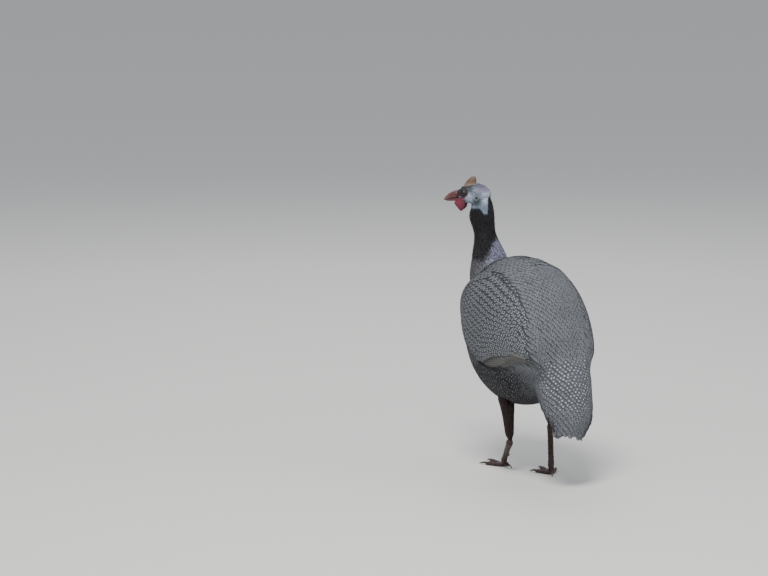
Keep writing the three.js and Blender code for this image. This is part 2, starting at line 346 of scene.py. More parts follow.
def vane_finish(name):
    """Feather vanes: each one's own tint, finely barred across, with barbs that slant off the shaft."""
    made = Finish(name, 0.75, 0.18, Sheen_Weight=0.04, Sheen_Roughness=0.5)
    tint = made.attribute("tint")
    vane = made.node("ShaderNodeUVMap", {"uv_map": "Vane"})
    parts = made.node("ShaderNodeSeparateXYZ", None, {"Vector": vane})
    across = Value(made, parts.socket.node.outputs[0])
    along = Value(made, parts.socket.node.outputs[1])
    spread = (across - 0.5).math("ABSOLUTE")
    barbs = ((along * 70 - spread * 60) * math.tau).math("SINE")
    wander = made.noise(400.0, 2.0) * 1.6
    ripples = ((along * 9 - spread * 5 + wander) * math.tau).math("SINE")
    pale = made.mixed(1.0, tint, (2.0, 2.0, 2.0), "MULTIPLY")
    dark = made.mixed(1.0, tint, (0.45, 0.45, 0.45), "MULTIPLY")
    barred = made.mixed(ripples.clamped(-0.2, 0.9) * 0.30, tint, pale)
    toned = made.mixed((1 - spread.clamped(0.0, 0.05)) * 0.35, barred, dark)
    patch = made.noise(30.0, 3.0)
    made.colour(made.mixed(patch.clamped(0.40, 0.75) * 0.20, toned, (0.035, 0.035, 0.037)))
    made.roughness(patch * 0.2 + 0.65)
    made.bump(barbs, 0.22, 0.0001)
    return made.material


# The head's own axes: its left, its rear and its crown, meeting at the nape end

def box_middle(name):
    low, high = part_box(name)
    return np.array(low + high) / 2


HEAD_TURN = np.array(Matrix.Rotation(HEAD_YAW, 3, "Z") @ Matrix.Rotation(HEAD_PITCH, 3, "X"))
EYES_MIDDLE = (box_middle("eye_left") + box_middle("eye_right")) / 2
HEAD_ORIGIN = EYES_MIDDLE - HEAD_TURN @ (EYE_SEAT * [0, 1, 1])


def to_head(points):
    return (points - HEAD_ORIGIN) @ HEAD_TURN


def from_head(points):
    return points @ HEAD_TURN.T + HEAD_ORIGIN


def bell(distance, width):
    return np.exp(-((distance / width) ** 2))


# The skin: bare on the head and legs, and under the coat elsewhere

SIDES = {"left": 1, "right": -1}
FLESH = ["trunk", "tail", "neck", "head"] + [
    f"{part}_{side}" for part in ("wing", "wattle", "thigh", "shank", "foot") for side in SIDES
]
COAT_DEPTH = {"neck": NECK_COAT, "thigh": THIGH_COAT, **dict.fromkeys(("trunk", "wing", "tail"), BODY_COAT)}
THROAT = 0.390  # the face's bare skin is above this height
LEG_TOP = 0.092  # and the legs' below this one


def nearest_part(points, names):
    """Which of the named solids each point lies closest to, as an index."""
    *solids, owner = gathered(names)
    tree = tree_of(*solids)
    return owner[[tree.find_nearest(Vector(p))[2] for p in points]]


def thinned(points, triangles, weight, ratio):
    """Fewer triangles where the weight is 1, none lost where it is 0."""
    obj = make_object("thin", make_mesh("thin", points, triangles))
    group = obj.vertex_groups.new(name="thin")
    group.add(np.flatnonzero(weight > 0.5).tolist(), 1.0, "REPLACE")
    settings = {"ratio": ratio, "vertex_group": "thin", "vertex_group_factor": 100.0}
    return evaluated(obj, "DECIMATE", settings)


def subdivided(points, triangles, chosen, longest):
    """Splits the edges longer than a length where the chosen vertices are."""
    mesh = make_mesh("fine", points, triangles)
    work = bmesh.new()
    work.from_mesh(mesh)
    work.verts.ensure_lookup_table()
    edges = [e for e in work.edges if chosen[e.verts[0].index] and chosen[e.verts[1].index]]
    edges = [e for e in edges if e.calc_length() > longest]
    bmesh.ops.subdivide_edges(work, edges=edges, cuts=1)
    bmesh.ops.triangulate(work, faces=work.faces)
    work.to_mesh(mesh)
    work.free()
    result = read_mesh(mesh)
    bpy.data.meshes.remove(mesh)
    return result


LID_OPENING = 41  # degrees from the way the eye looks to the lids' edge
LID_END = 88
LID_ROLL = 0.62 * MM  # how far the edge stands over the eyeball
LID_TUCK = 1.3 * MM  # how far the skin turns in behind the eyeball's face


def eye_axis(side):
    """The way the eye looks, on the head's own axes."""
    return unit(np.array([side, -0.20, 0.06]))


def shape_lids(local, side):
    """Round lids: the skin turns in behind the eyeball at the opening and rolls over it round that."""
    seat = EYE_SEAT * [side, 1, 1]
    offset = local - seat
    reach = np.linalg.norm(offset, axis=1)
    direction = offset / reach[:, None]
    angle = np.degrees(np.arccos(np.clip(direction @ eye_axis(side), -1, 1)))
    near = (angle < LID_END) & (reach < EYE_RADIUS + 6 * MM)
    around = np.arctan2(direction[:, 2], -direction[:, 1])
    past = angle - (LID_OPENING + 3.5 * np.cos(2 * around))
    rim = EYE_RADIUS + LID_ROLL * bell(past - 9, 9)
    folds = 0.10 * MM * np.cos(math.tau * past / 11)
    folds = folds * smoothstep(past, 10, 20) * (1 - smoothstep(past, 34, 44))
    outer = np.maximum(reach - 0.35 * MM * bell(past - 24, 8), rim) + folds
    inner = EYE_RADIUS - LID_TUCK
    target = outer + (inner - outer) * (1 - smoothstep(past, -4, 2))
    share = near * (1 - smoothstep(angle, 70, LID_END))
    return seat + direction * (reach + share * (target - reach))[:, None]


def wave(length, spacing):
    """Folds a spacing apart along a length."""
    return np.sin(length * math.tau / spacing)


def sculpt_head(local):
    """Brow, cere, cheek folds, ear, gape and wattle wrinkles, as lengths along the surface's normal."""
    x, y, z = local.T / MM
    flank = smoothstep(np.abs(x), 5, 9)
    ear = np.sqrt(((y + 18) / 0.8) ** 2 + (z + 6) ** 2)
    gape_height = -5.2 + 0.16 * (y + 47)
    along_gape = smoothstep(y, -52, -47) * (1 - smoothstep(y, -40, -34))
    brow = bell(z - 9.4, 1.5) * bell(y + 40, 8) * smoothstep(np.abs(x), 4, 8)
    cere = bell(y + 49.3, 2.0) * smoothstep(z, -4, 0)
    casque_foot = np.sqrt((x / 6.4) ** 2 + ((y + 28.5) / 11.3) ** 2)
    on_top = smoothstep(z, 7, 10)
    cheek = flank * bell(y + 24, 14) * bell(z + 6, 11)
    crow_feet = flank * bell(y + 30, 4) * bell(z - 1, 6)
    jowl = bell(z + 17, 7) * bell(y + 28, 14)
    nape = bell(y + 3, 8) * bell(z + 12, 14)
    crown = smoothstep(z, 6, 11) * smoothstep(y, -24, -14)
    forehead = smoothstep(z, 4, 8) * (1 - smoothstep(y, -40, -34))
    wattle = smoothstep(-z, 8, 12) * smoothstep(-y, 37, 40)
    push = flank * (-2.2 * bell(ear, 1.9) + 0.8 * bell(ear - 3.6, 1.1))
    for height, form, where in (
        (-0.9, bell(z - gape_height, 0.8), along_gape),
        (0.55, bell(z - gape_height + 2.1, 1.1), along_gape),
        (0.95, brow, 1),
        (0.8, cere, 1),
        (1.3, bell(casque_foot - 1.20, 0.17), on_top),
        (-0.5, bell(casque_foot - 1.55, 0.12), on_top),
        (0.27, wave(z * 0.95 + y * 0.35 + 1.9 * np.sin(y / 4.1) + 0.8 * np.sin(y / 1.7), 3.0), cheek),
        (0.06, wave(y * 0.9 - z * 0.5 + 1.4 * np.sin(z / 2.7), 2.1), cheek),
        (0.20, wave(z + 0.35 * (y + 30), 1.9), crow_feet),
        (0.34, wave(x + 0.25 * y + 0.8 * np.sin(z / 3), 3.6), jowl),
        (0.16, wave(z + 0.5 * y + 1.3 * np.sin(y / 2.2), 2.8), nape),
        (0.16, wave(y + 1.2 * np.sin(x / 1.9), 2.6), crown),
        (0.14, wave(y - 0.5 * z + 0.9 * np.sin(x / 1.5), 1.8), forehead),
        (0.10, wave(z + 1.9 * np.sin(y / 1.9) + 0.6 * y, 3.4), wattle),
        (0.05, wave(y + 1.3 * np.sin(z / 1.6), 2.1), wattle),
    ):
        push = push + height * form * where
    return push * MM


def feather_line(local):
    """Where the neck's feathers begin under the bare face and behind it: 0 bare, 1 feathered."""
    y, z = local.T[1:] / MM
    lower = -22.5 - 9.5 * smoothstep(y, -15, -6)
    below = smoothstep(lower - z, -1.2, 1.8)
    nape = smoothstep(y, -0.5, 2.5) * (1 - smoothstep(z, -7, -2))
    return np.maximum(below, nape)


def head_colours(local):
    """The bare skin's colours, painted on the head's own axes."""
    x, y, z = local.T / MM
    flank = smoothstep(np.abs(x), 4, 9)
    patch = bell(y + 29.5, 6.5) * bell(z + 5, 6)
    stripe = bell(y + 15 + 0.3 * (z + 2), 6) * bell(z + 1, 6)
    ear = bell(y + 17, 6) * bell(z + 12, 8)
    band = bell(y + 3.5, 5.5) * bell(z + 6, 8)
    ragged = y + 1.5 * np.sin(z * 1.1) + 1.1 * np.sin(z * 2.3 + x)
    crown = smoothstep(z + 0.25 * (y + 30), 3, 8) * (1 - smoothstep(ragged, -28, -18))
    eye = np.sqrt(((y + 40) / 1.15) ** 2 + (z - 4.5) ** 2)
    front = (1 - smoothstep(y, -44, -38)) * smoothstep(z, -3, 1)
    lore = (1 - smoothstep(y, -49, -45)) * (1 - smoothstep(z, 2, 5))
    gape = bell(z + 6.5 - 0.16 * (y + 47), 3.2) * (1 - smoothstep(y, -40, -35))
    return layered(len(local), PALE_SKIN, [
        (BLUE_SKIN, 0.8 * smoothstep(-z, 8, 16)),
        (BRIGHT_SKIN, 0.95 * np.clip(1.5 * patch, 0, 1) * flank),
        (LILAC_SKIN, 0.55 * np.clip(1.3 * stripe, 0, 1)),
        (GREY_SKIN, 0.9 * np.clip(1.5 * ear, 0, 1) * flank),
        (BRIGHT_SKIN, 0.9 * np.clip(1.5 * band, 0, 1)),
        (LILAC_SKIN, 0.9 * smoothstep(z, 1, 7) * smoothstep(y, -21, -13)),
        (CROWN_DARK, 0.55 * smoothstep(z, 9, 14)),
        (CROWN_DARK, 0.9 * crown),
        (DARK_SKIN, 0.97 * (1 - smoothstep(eye, 6.6, 9.0))),
        (DARK_SKIN, 0.9 * front),
        (MAROON, 0.9 * lore),
        (WATTLE_RED, 0.9 * gape),
        (BLACK_DOWN, 0.95 * feather_line(local)),
    ])


def wattle_colours(local):
    """Crimson, darker to the rear and along the lower edge."""
    y, z = local.T[1:] / MM
    rear, foot = 0.85 * smoothstep(y, -46, -38), 0.4 * smoothstep(-z, 22, 28)
    return layered(len(local), WATTLE_RED, [(WATTLE_DARK, rear), (WATTLE_DARK, foot)])


def body_colours(points):
    """What the feathers are coloured where they lie, so that skin and coat agree; with painted shade low on
    the body and in the parting down the back.
    """
    x, y, z = points.T
    shadow = (1 - smoothstep(z, 0.145, 0.205)) * (1 - smoothstep(y, 0.10, 0.15))
    low = z + 0.016 * smoothstep(-y, 0.02, 0.09) + 0.003 * np.sin(y / 0.008)
    under = (1 - smoothstep(low, 0.172, 0.212)) * (1 - smoothstep(y, 0.050, 0.115))
    # painted shade in the hollow where the feathers part down the middle of the back
    parting_shade = bell(y - 0.012, 0.040) * bell(x - 0.004, 0.012) * smoothstep(z, 0.28, 0.30)
    front = (1 - smoothstep(y, -0.125, -0.085)) * smoothstep(z, 0.255, 0.305)
    rear = smoothstep(y - 0.9 * x + 0.22 * np.maximum(z - 0.333, 0), -0.130, -0.106)
    collar = rear * smoothstep(z, 0.306, 0.338) * (1 - smoothstep(y, -0.092, -0.062))
    neck_foot = 0.336 + 0.044 * rear
    neck = smoothstep(z - neck_foot, 0.0, 0.012) * (1 - smoothstep(y, -0.098, -0.083))
    return layered(len(points), SLATE, [
        (SHADE_SLATE, 0.9 * shadow),
        (BLACK_DOWN, 0.95 * under * (1 - on_wing(points, UNDER_WING))),
        (SHADE_SLATE, 0.5 * parting_shade),
        (BROWN_LILAC, 0.85 * front),
        (LILAC, 0.85 * collar),
        (BLACK_DOWN, 0.95 * neck),
    ])


def under_coat(field):
    """The flesh as one surface, sunk below the feathers' outline by the depth of the coat."""
    points, triangles = united(FLESH + ["eye_left", "eye_right"], 1.0 * MM)
    on_head = (to_head(points)[:, 1] < 6 * MM) & (points[:, 2] > THROAT)
    kept = on_head | (points[:, 2] < LEG_TOP)
    points, triangles = thinned(points, triangles, 1.0 - kept, 0.30)
    points = relaxed(points, triangles, 4)
    parts = nearest_part(points, FLESH)
    depth = np.array([COAT_DEPTH.get(name.split("_")[0], 0.0) for name in FLESH])[parts]
    depth = relaxed(depth, triangles, 6)
    points = points - vertex_normals(points, triangles) * (depth * 1.12)[:, None]
    points = field.settled(points, depth)
    coated = (depth > 0.6 * MM)[:, None]
    return np.where(coated, relaxed(points, triangles, 5), relaxed(points, triangles, 2)), triangles


def with_face(points, triangles):
    """The head's triangles split finer and given lids, folds and wattles; and how deep each fold is."""
    for edge in (0.9 * MM, 0.7 * MM):
        chosen = (to_head(points)[:, 1] < 3 * MM) & (points[:, 2] > THROAT + 10 * MM)
        points, triangles = subdivided(points, triangles, chosen, edge)
    chosen = (to_head(points)[:, 1] < -1 * MM) & (points[:, 2] > THROAT + 12 * MM)
    share = relaxed(chosen.astype(float), triangles, 3)
    smooth = relaxed(points, triangles, 5)
    points = points + (smooth - points) * share[:, None]
    head = to_head(points)
    for side in SIDES.values():
        half = (head[:, 0] * side > 0) & chosen
        head[half] = shape_lids(head, side)[half]
    hanging = smoothstep(-head[:, 2], 8 * MM, 12 * MM) * smoothstep(-head[:, 1], 36 * MM, 38 * MM)
    forward = smoothstep(-head[:, 1], 43 * MM, 57 * MM)
    head[:, 2] -= (head[:, 2] + 8 * MM) * 0.50 * forward * hanging
    points = from_head(head)
    normals = vertex_normals(points, triangles)
    relief = sculpt_head(head) * share
    points = points + normals * relief[:, None]
    points[:, 2] = np.maximum(points[:, 2], 0)
    return points, triangles, (relief - relaxed(relief, triangles, 12)) / (0.12 * MM)


def skin_colours(points, triangles, folds):
    """The skin's colours, with painted shade down in its folds and painted light along their ridges, and
    how much of each place is scaly leg.
    """
    parts = nearest_part(points, FLESH)

    def on(*words):
        return np.isin(parts, [k for k, name in enumerate(FLESH) if name.startswith(words)])

    colour, local = body_colours(points), to_head(points)
    face = on("head") | (on("neck") & (points[:, 2] > THROAT + 2 * MM))
    colour[face] = head_colours(local)[face]
    colour[on("wattle")] = wattle_colours(local)[on("wattle")]
    legs = on("shank", "foot")
    colour[legs] = LEG_BROWN
    colour[on("thigh")] = THIGH_BROWN
    colour = relaxed(colour, triangles, 2)
    # painted shade down in the folds and painted light along their ridges
    tone = 1 - 0.55 * np.clip(-folds, 0, 1) + 0.18 * np.clip(folds, 0, 1)
    return colour * tone[:, None], relaxed(legs.astype(float), triangles, 3)


def make_skin(field):
    points, triangles, folds = with_face(*under_coat(field))
    colour, scaly = skin_colours(points, triangles, folds)
    skin = make_object("skin", make_mesh("skin", points, triangles))
    set_attribute(skin.data, "hue", colour)
    set_attribute(skin.data, "scaly", scaly)
    skin.data.materials.append(skin_finish())
    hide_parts(*FLESH)
    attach(skin, "root")
    print("skin", len(triangles), "triangles")


def skin_finish():
    """Bare skin: pebbled and finely creased on the head, with painted shade along the creases, plated on
    the legs.
    """
    made = Finish("bare_skin", 0.60, 0.28, Subsurface_Weight=0.05, Subsurface_Scale=0.002)
    hue = made.attribute("hue")
    scaly = made.attribute("scaly", "Fac")
    mottle = made.noise(330.0, 4.0)
    pores = made.noise(1900.0, 3.0)
    pebbles, creases = (
        made.node("ShaderNodeTexVoronoi", {"feature": feature}, {"Vector": made.here(), "Scale": scale})
        for feature, scale in (("F1", 1100.0), ("DISTANCE_TO_EDGE", 620.0))
    )
    toned = made.mixed(mottle.clamped(0.38, 0.66) * 0.40, hue, (0.045, 0.045, 0.055))
    # painted shade along the creases' lines
    crease_shaded = made.mixed((1 - creases.clamped(0.0, 0.10)) * 0.06, toned, (0.03, 0.025, 0.03))
    made.colour(made.mixed(pores.clamped(0.5, 0.8) * 0.15, crease_shaded, (0.02, 0.02, 0.025)))
    made.roughness(mottle * 0.2 + 0.46)
    height = pores * 0.3 + mottle * 0.4 + creases.clamped(0.0, 0.16) * 0.12 + scaly * 0.1 - pebbles * 0.5
    made.bump(height, 0.75, 0.0006)
    return made.material


# The field: where the coat lies, by stations along a bent axis and turns round it

LEFT = np.array([1.0, 0.0, 0.0])


def spline(points, step):
    """Even steps along a smooth curve through the points: places, directions and whole length."""
    points = np.asarray(points, float)
    padded = np.vstack([2 * points[0] - points[1], points, 2 * points[-1] - points[-2]])
    t = np.linspace(0, 1, 24, endpoint=False)[:, None]
    pieces = []
    for a, b, c, d in zip(padded, padded[1:], padded[2:], padded[3:]):
        bend = (2 * a - 5 * b + 4 * c - d) * t**2 + (3 * b - a - 3 * c + d) * t**3
        pieces.append(0.5 * (2 * b + (c - a) * t + bend))
    fine = np.vstack(pieces + [points[-1:]])
    run = np.concatenate([[0], np.cumsum(np.linalg.norm(np.diff(fine, axis=0), axis=1))])
    at = np.linspace(0, run[-1], int(run[-1] / step) + 1)
    even = np.stack([np.interp(at, run, fine[:, k]) for k in range(3)], axis=1)
    return even, unit(np.gradient(even, axis=0)), run[-1]


def softened(grid, rounds_down, rounds_round):
    """Evens out a grid of stations by turns; the turns wrap."""
    grid = grid.copy()
    for _ in range(rounds_round):
        grid = 0.5 * grid + 0.25 * (np.roll(grid, 1, 1) + np.roll(grid, -1, 1))
    for _ in range(rounds_down):
        padded = np.concatenate([grid[:1], grid, grid[-1:]])
        grid = 0.5 * grid + 0.25 * (padded[:-2] + padded[2:])
    return grid


def cast(tree, starts, rays, reach):
    """How far out the surface lies along each ray, or nan where there is none."""
    found = np.full(rays.shape[:2], np.nan)
    for i, start in enumerate(starts):
        for j, ray in enumerate(rays[i]):
            hit = tree.ray_cast(Vector(start + ray * reach), Vector(-ray), reach)
            if hit[0] is not None:
                found[i, j] = reach - hit[3]
    return found


def filled(radius, floor):
    """Where nothing was hit, the reach of the nearest station on the same turn."""
    rows = np.arange(len(radius))
    for column in radius.T:
        found = np.isfinite(column)
        column[~found] = np.interp(rows[~found], rows[found], column[found]) if found.any() else floor
    return radius


class Field:
    """A surface round a bent axis. Turn 0 is its upper side and a quarter turn its left."""

    def __init__(self, axis, surface, reach, step, turns, rounds, cap=lambda line: np.inf, floor=4 * MM):
        line, along, self.length = spline(axis, step)
        self.count, self.turns = len(line), turns
        side = unit(LEFT - along * (along @ LEFT)[:, None])
        top = np.cross(side, along)
        angle = np.arange(turns) * math.tau / turns
        rays = top[:, None] * np.cos(angle)[:, None] + side[:, None] * np.sin(angle)[:, None]
        radius = cast(surface, line, rays, reach)
        radius = np.minimum(radius, np.reshape(cap(line), (-1, 1)))
        self.valid = softened(np.isfinite(radius).astype(float), 1, 1)
        radius = softened(filled(radius, floor), *rounds)
        self.place(line[:, None] + rays * radius[..., None])

    def place(self, points):
        """Sets the surface, and how it runs for each metre down and each radian round."""
        self.points = points
        self.down = np.gradient(points, axis=0) / (self.length / (self.count - 1))
        self.round = self.next_turn(points) * self.turns / math.tau
        self.normals = unit(np.cross(self.round, self.down))

    def next_turn(self, points):
        return (np.roll(points, -1, 1) - np.roll(points, 1, 1)) / 2

    def take(self, grid, station, turn):
        """A grid's values at any stations and turns."""
        row = np.clip(station / self.length, 0, 1) * (self.count - 1.0001)
        column = np.mod(turn / math.tau, 1) * self.turns
        i, j = row.astype(int), column.astype(int) % self.turns
        k = (j + 1) % self.turns
        f, g = row - i, column - np.floor(column)
        if grid.ndim == 3:
            f, g = f[..., None], g[..., None]
        upper = grid[i, j] * (1 - g) + grid[i, k] * g
        lower = grid[i + 1, j] * (1 - g) + grid[i + 1, k] * g
        return upper * (1 - f) + lower * f

    def at(self, station, turn):
        """Places on the surface; past the last station it runs straight on."""
        past = np.maximum(station - self.length, 0)[..., None]
        return self.take(self.points, station, turn) + past * self.take(self.down, station, turn)

    def found(self, root):
        """Whether the surface was found where each root lies."""
        return self.take(self.valid, root[:, 0], root[:, 1]) > 0.9

    def radius(self, root):
        """How far the surface runs for each radian round, where each root lies."""
        return np.linalg.norm(self.take(self.round, root[:, 0], root[:, 1]), axis=1)

    def tree(self):
        """The surface as triangles, where it was found."""
        index = np.arange(self.count * self.turns).reshape(self.count, self.turns)
        a, b = index[:-1], np.roll(index, -1, 1)[:-1]
        c, d = np.roll(index, -1, 1)[1:], index[1:]
        good = (self.valid[:-1] > 0.9) & (self.valid[1:] > 0.9)
        triangles = np.concatenate([np.stack([a, b, c], 2)[good], np.stack([a, c, d], 2)[good]])
        return tree_of(self.points.reshape(-1, 3), triangles)

    def settled(self, points, depth):
        """Pushes in whatever stands above the roots of a coat that is depth deep."""
        tree = self.tree()
        points = points.copy()
        for k in np.flatnonzero(depth > 0.3 * MM):
            place, normal, _, gap = tree.find_nearest(Vector(points[k]))
            if gap > 15 * MM:
                continue
            normal = np.array(normal)
            height = (points[k] - np.array(place)) @ normal
            over = height + depth[k] * 1.05
            if over > 0:
                points[k] -= normal * min(over, 9 * MM)
        return points

    def rows(self, exposure, spacing, first, last):
        """Roots laid like roof tiles: each row a step further down, and half a space aside."""
        steps = np.linalg.norm(np.diff(self.points, axis=0), axis=2)
        run = np.concatenate([np.zeros((1, self.turns)), np.cumsum(steps, axis=0)])
        run = softened(run, 0, 30)
        stations = np.linspace(0, self.length, self.count)
        turn = np.arange(self.turns + 1) * math.tau / self.turns
        found, at, k = [], first, 0
        while at < last:
            row = np.array([np.interp(at, run[:, j], stations, right=np.nan) for j in range(self.turns)])
            row = np.append(row, row[0])
            solid = np.where(np.isnan(row), self.length, row)
            edge = self.at(solid, turn)
            around = np.concatenate([[0], np.cumsum(np.linalg.norm(np.diff(edge, axis=0), axis=1))])
            count = max(3, 2 * round(around[-1] / (spacing * 2)))
            places = (np.arange(count) + 0.5 * (k % 2)) / count * around[-1]
            where = np.interp(places, around, turn)
            down = np.interp(where, turn, row)
            found.append(np.stack([down, where], axis=1)[~np.isnan(down)])
            at, k = at + exposure, k + 1
        return np.vstack(found)


class Patch(Field):
    """A piece of surface given as a grid: stations down the lie and turns across it, from edge to edge."""

    def __init__(self, points):
        self.count, self.turns = points.shape[:2]
        self.length = np.linalg.norm(np.diff(points, axis=0), axis=2).sum(axis=0).mean()
        self.valid = np.ones(points.shape[:2])
        self.place(points)

    def next_turn(self, points):
        return np.gradient(points, axis=1)

    def turn(self, share):
        """The turn at a share of the way across."""
        return np.clip(share, 0, 1) * math.tau * (self.turns - 1.001) / self.turns


def tiled(exposure, columns, first, last, low, high):
    """Roots on a patch as shares: the same number in each row, so that they keep in line to the tip.

    high gives how far across each row reaches."""
    found = []
    for k, at in enumerate(np.arange(first, last, exposure)):
        across = low + (high(at) - low) * (np.arange(columns) + 0.40 + 0.2 * (k % 2)) / columns
        found.append(np.stack([np.full(columns, at), across], axis=1))
    return np.vstack(found)


# Vanes and spots

V_STEPS = np.array([0, 0.30, 0.55, 0.74, 0.87, 0.96, 1.0])  # from root to tip
U_STEPS = np.array([-1, -0.55, 0, 0.55, 1])  # from edge to edge
WHITE_CAP, RING, GREY_CAP = 1, 2, 3  # slots of the spots' parts; the vanes' is 0


def outline(v):
    """Half-width of a feather along its length, as a share of its widest."""
    body = 0.5 + 0.5 * np.sin(np.clip(v / 0.6, 0, 1) * math.pi / 2)
    return body * np.sqrt(1 - np.clip((v - 0.6) / 0.405, 0, 1) ** 2)


def long_outline(v):
    """A flight feather's: even in width up to a rounded tip."""
    body = 0.75 + 0.25 * np.sin(np.clip(v / 0.3, 0, 1) * math.pi / 2)
    return body * np.sqrt(1 - np.clip((v - 0.88) / 0.1215, 0, 1) ** 2)


def vane_triangles(rows, columns):
    """A closed thin blade: a grid on top, one ridge line below, and both ends."""
    faces = []
    ridge = rows * columns
    for k in range(rows - 1):
        for c in range(columns - 1):
            a, b = k * columns + c, (k + 1) * columns + c
            faces += [(a, a + 1, b + 1), (a, b + 1, b)]
        left, right = k * columns, (k + 1) * columns - 1
        faces += [(right, ridge + k, ridge + k + 1), (right, ridge + k + 1, right + columns)]
        faces += [(ridge + k, left, left + columns), (ridge + k, left + columns, ridge + k + 1)]
    for c in range(columns - 1):
        tip = (rows - 1) * columns + c
        faces += [(c, ridge, c + 1), (tip, tip + 1, ridge + rows - 1)]
    return np.array(faces)


def spot_triangles(sides, cap_slot):
    """A low closed button: a cap, a sloping ring and a base, and the slot of each triangle."""
    cap = [(0, k, k + 1) for k in range(1, sides - 1)]
    ring = []
    for k in range(sides):
        m = (k + 1) % sides
        ring += [(sides + k, sides + m, m), (sides + k, m, k)]
    base = [(sides, sides + k + 1, sides + k) for k in range(1, sides - 1)]
    return np.array(cap + ring + base), np.array([cap_slot] * len(cap) + [RING] * len(ring + base))


BAKE_EDGE = 0.004  # the margin kept round the coat's OFBake sheet


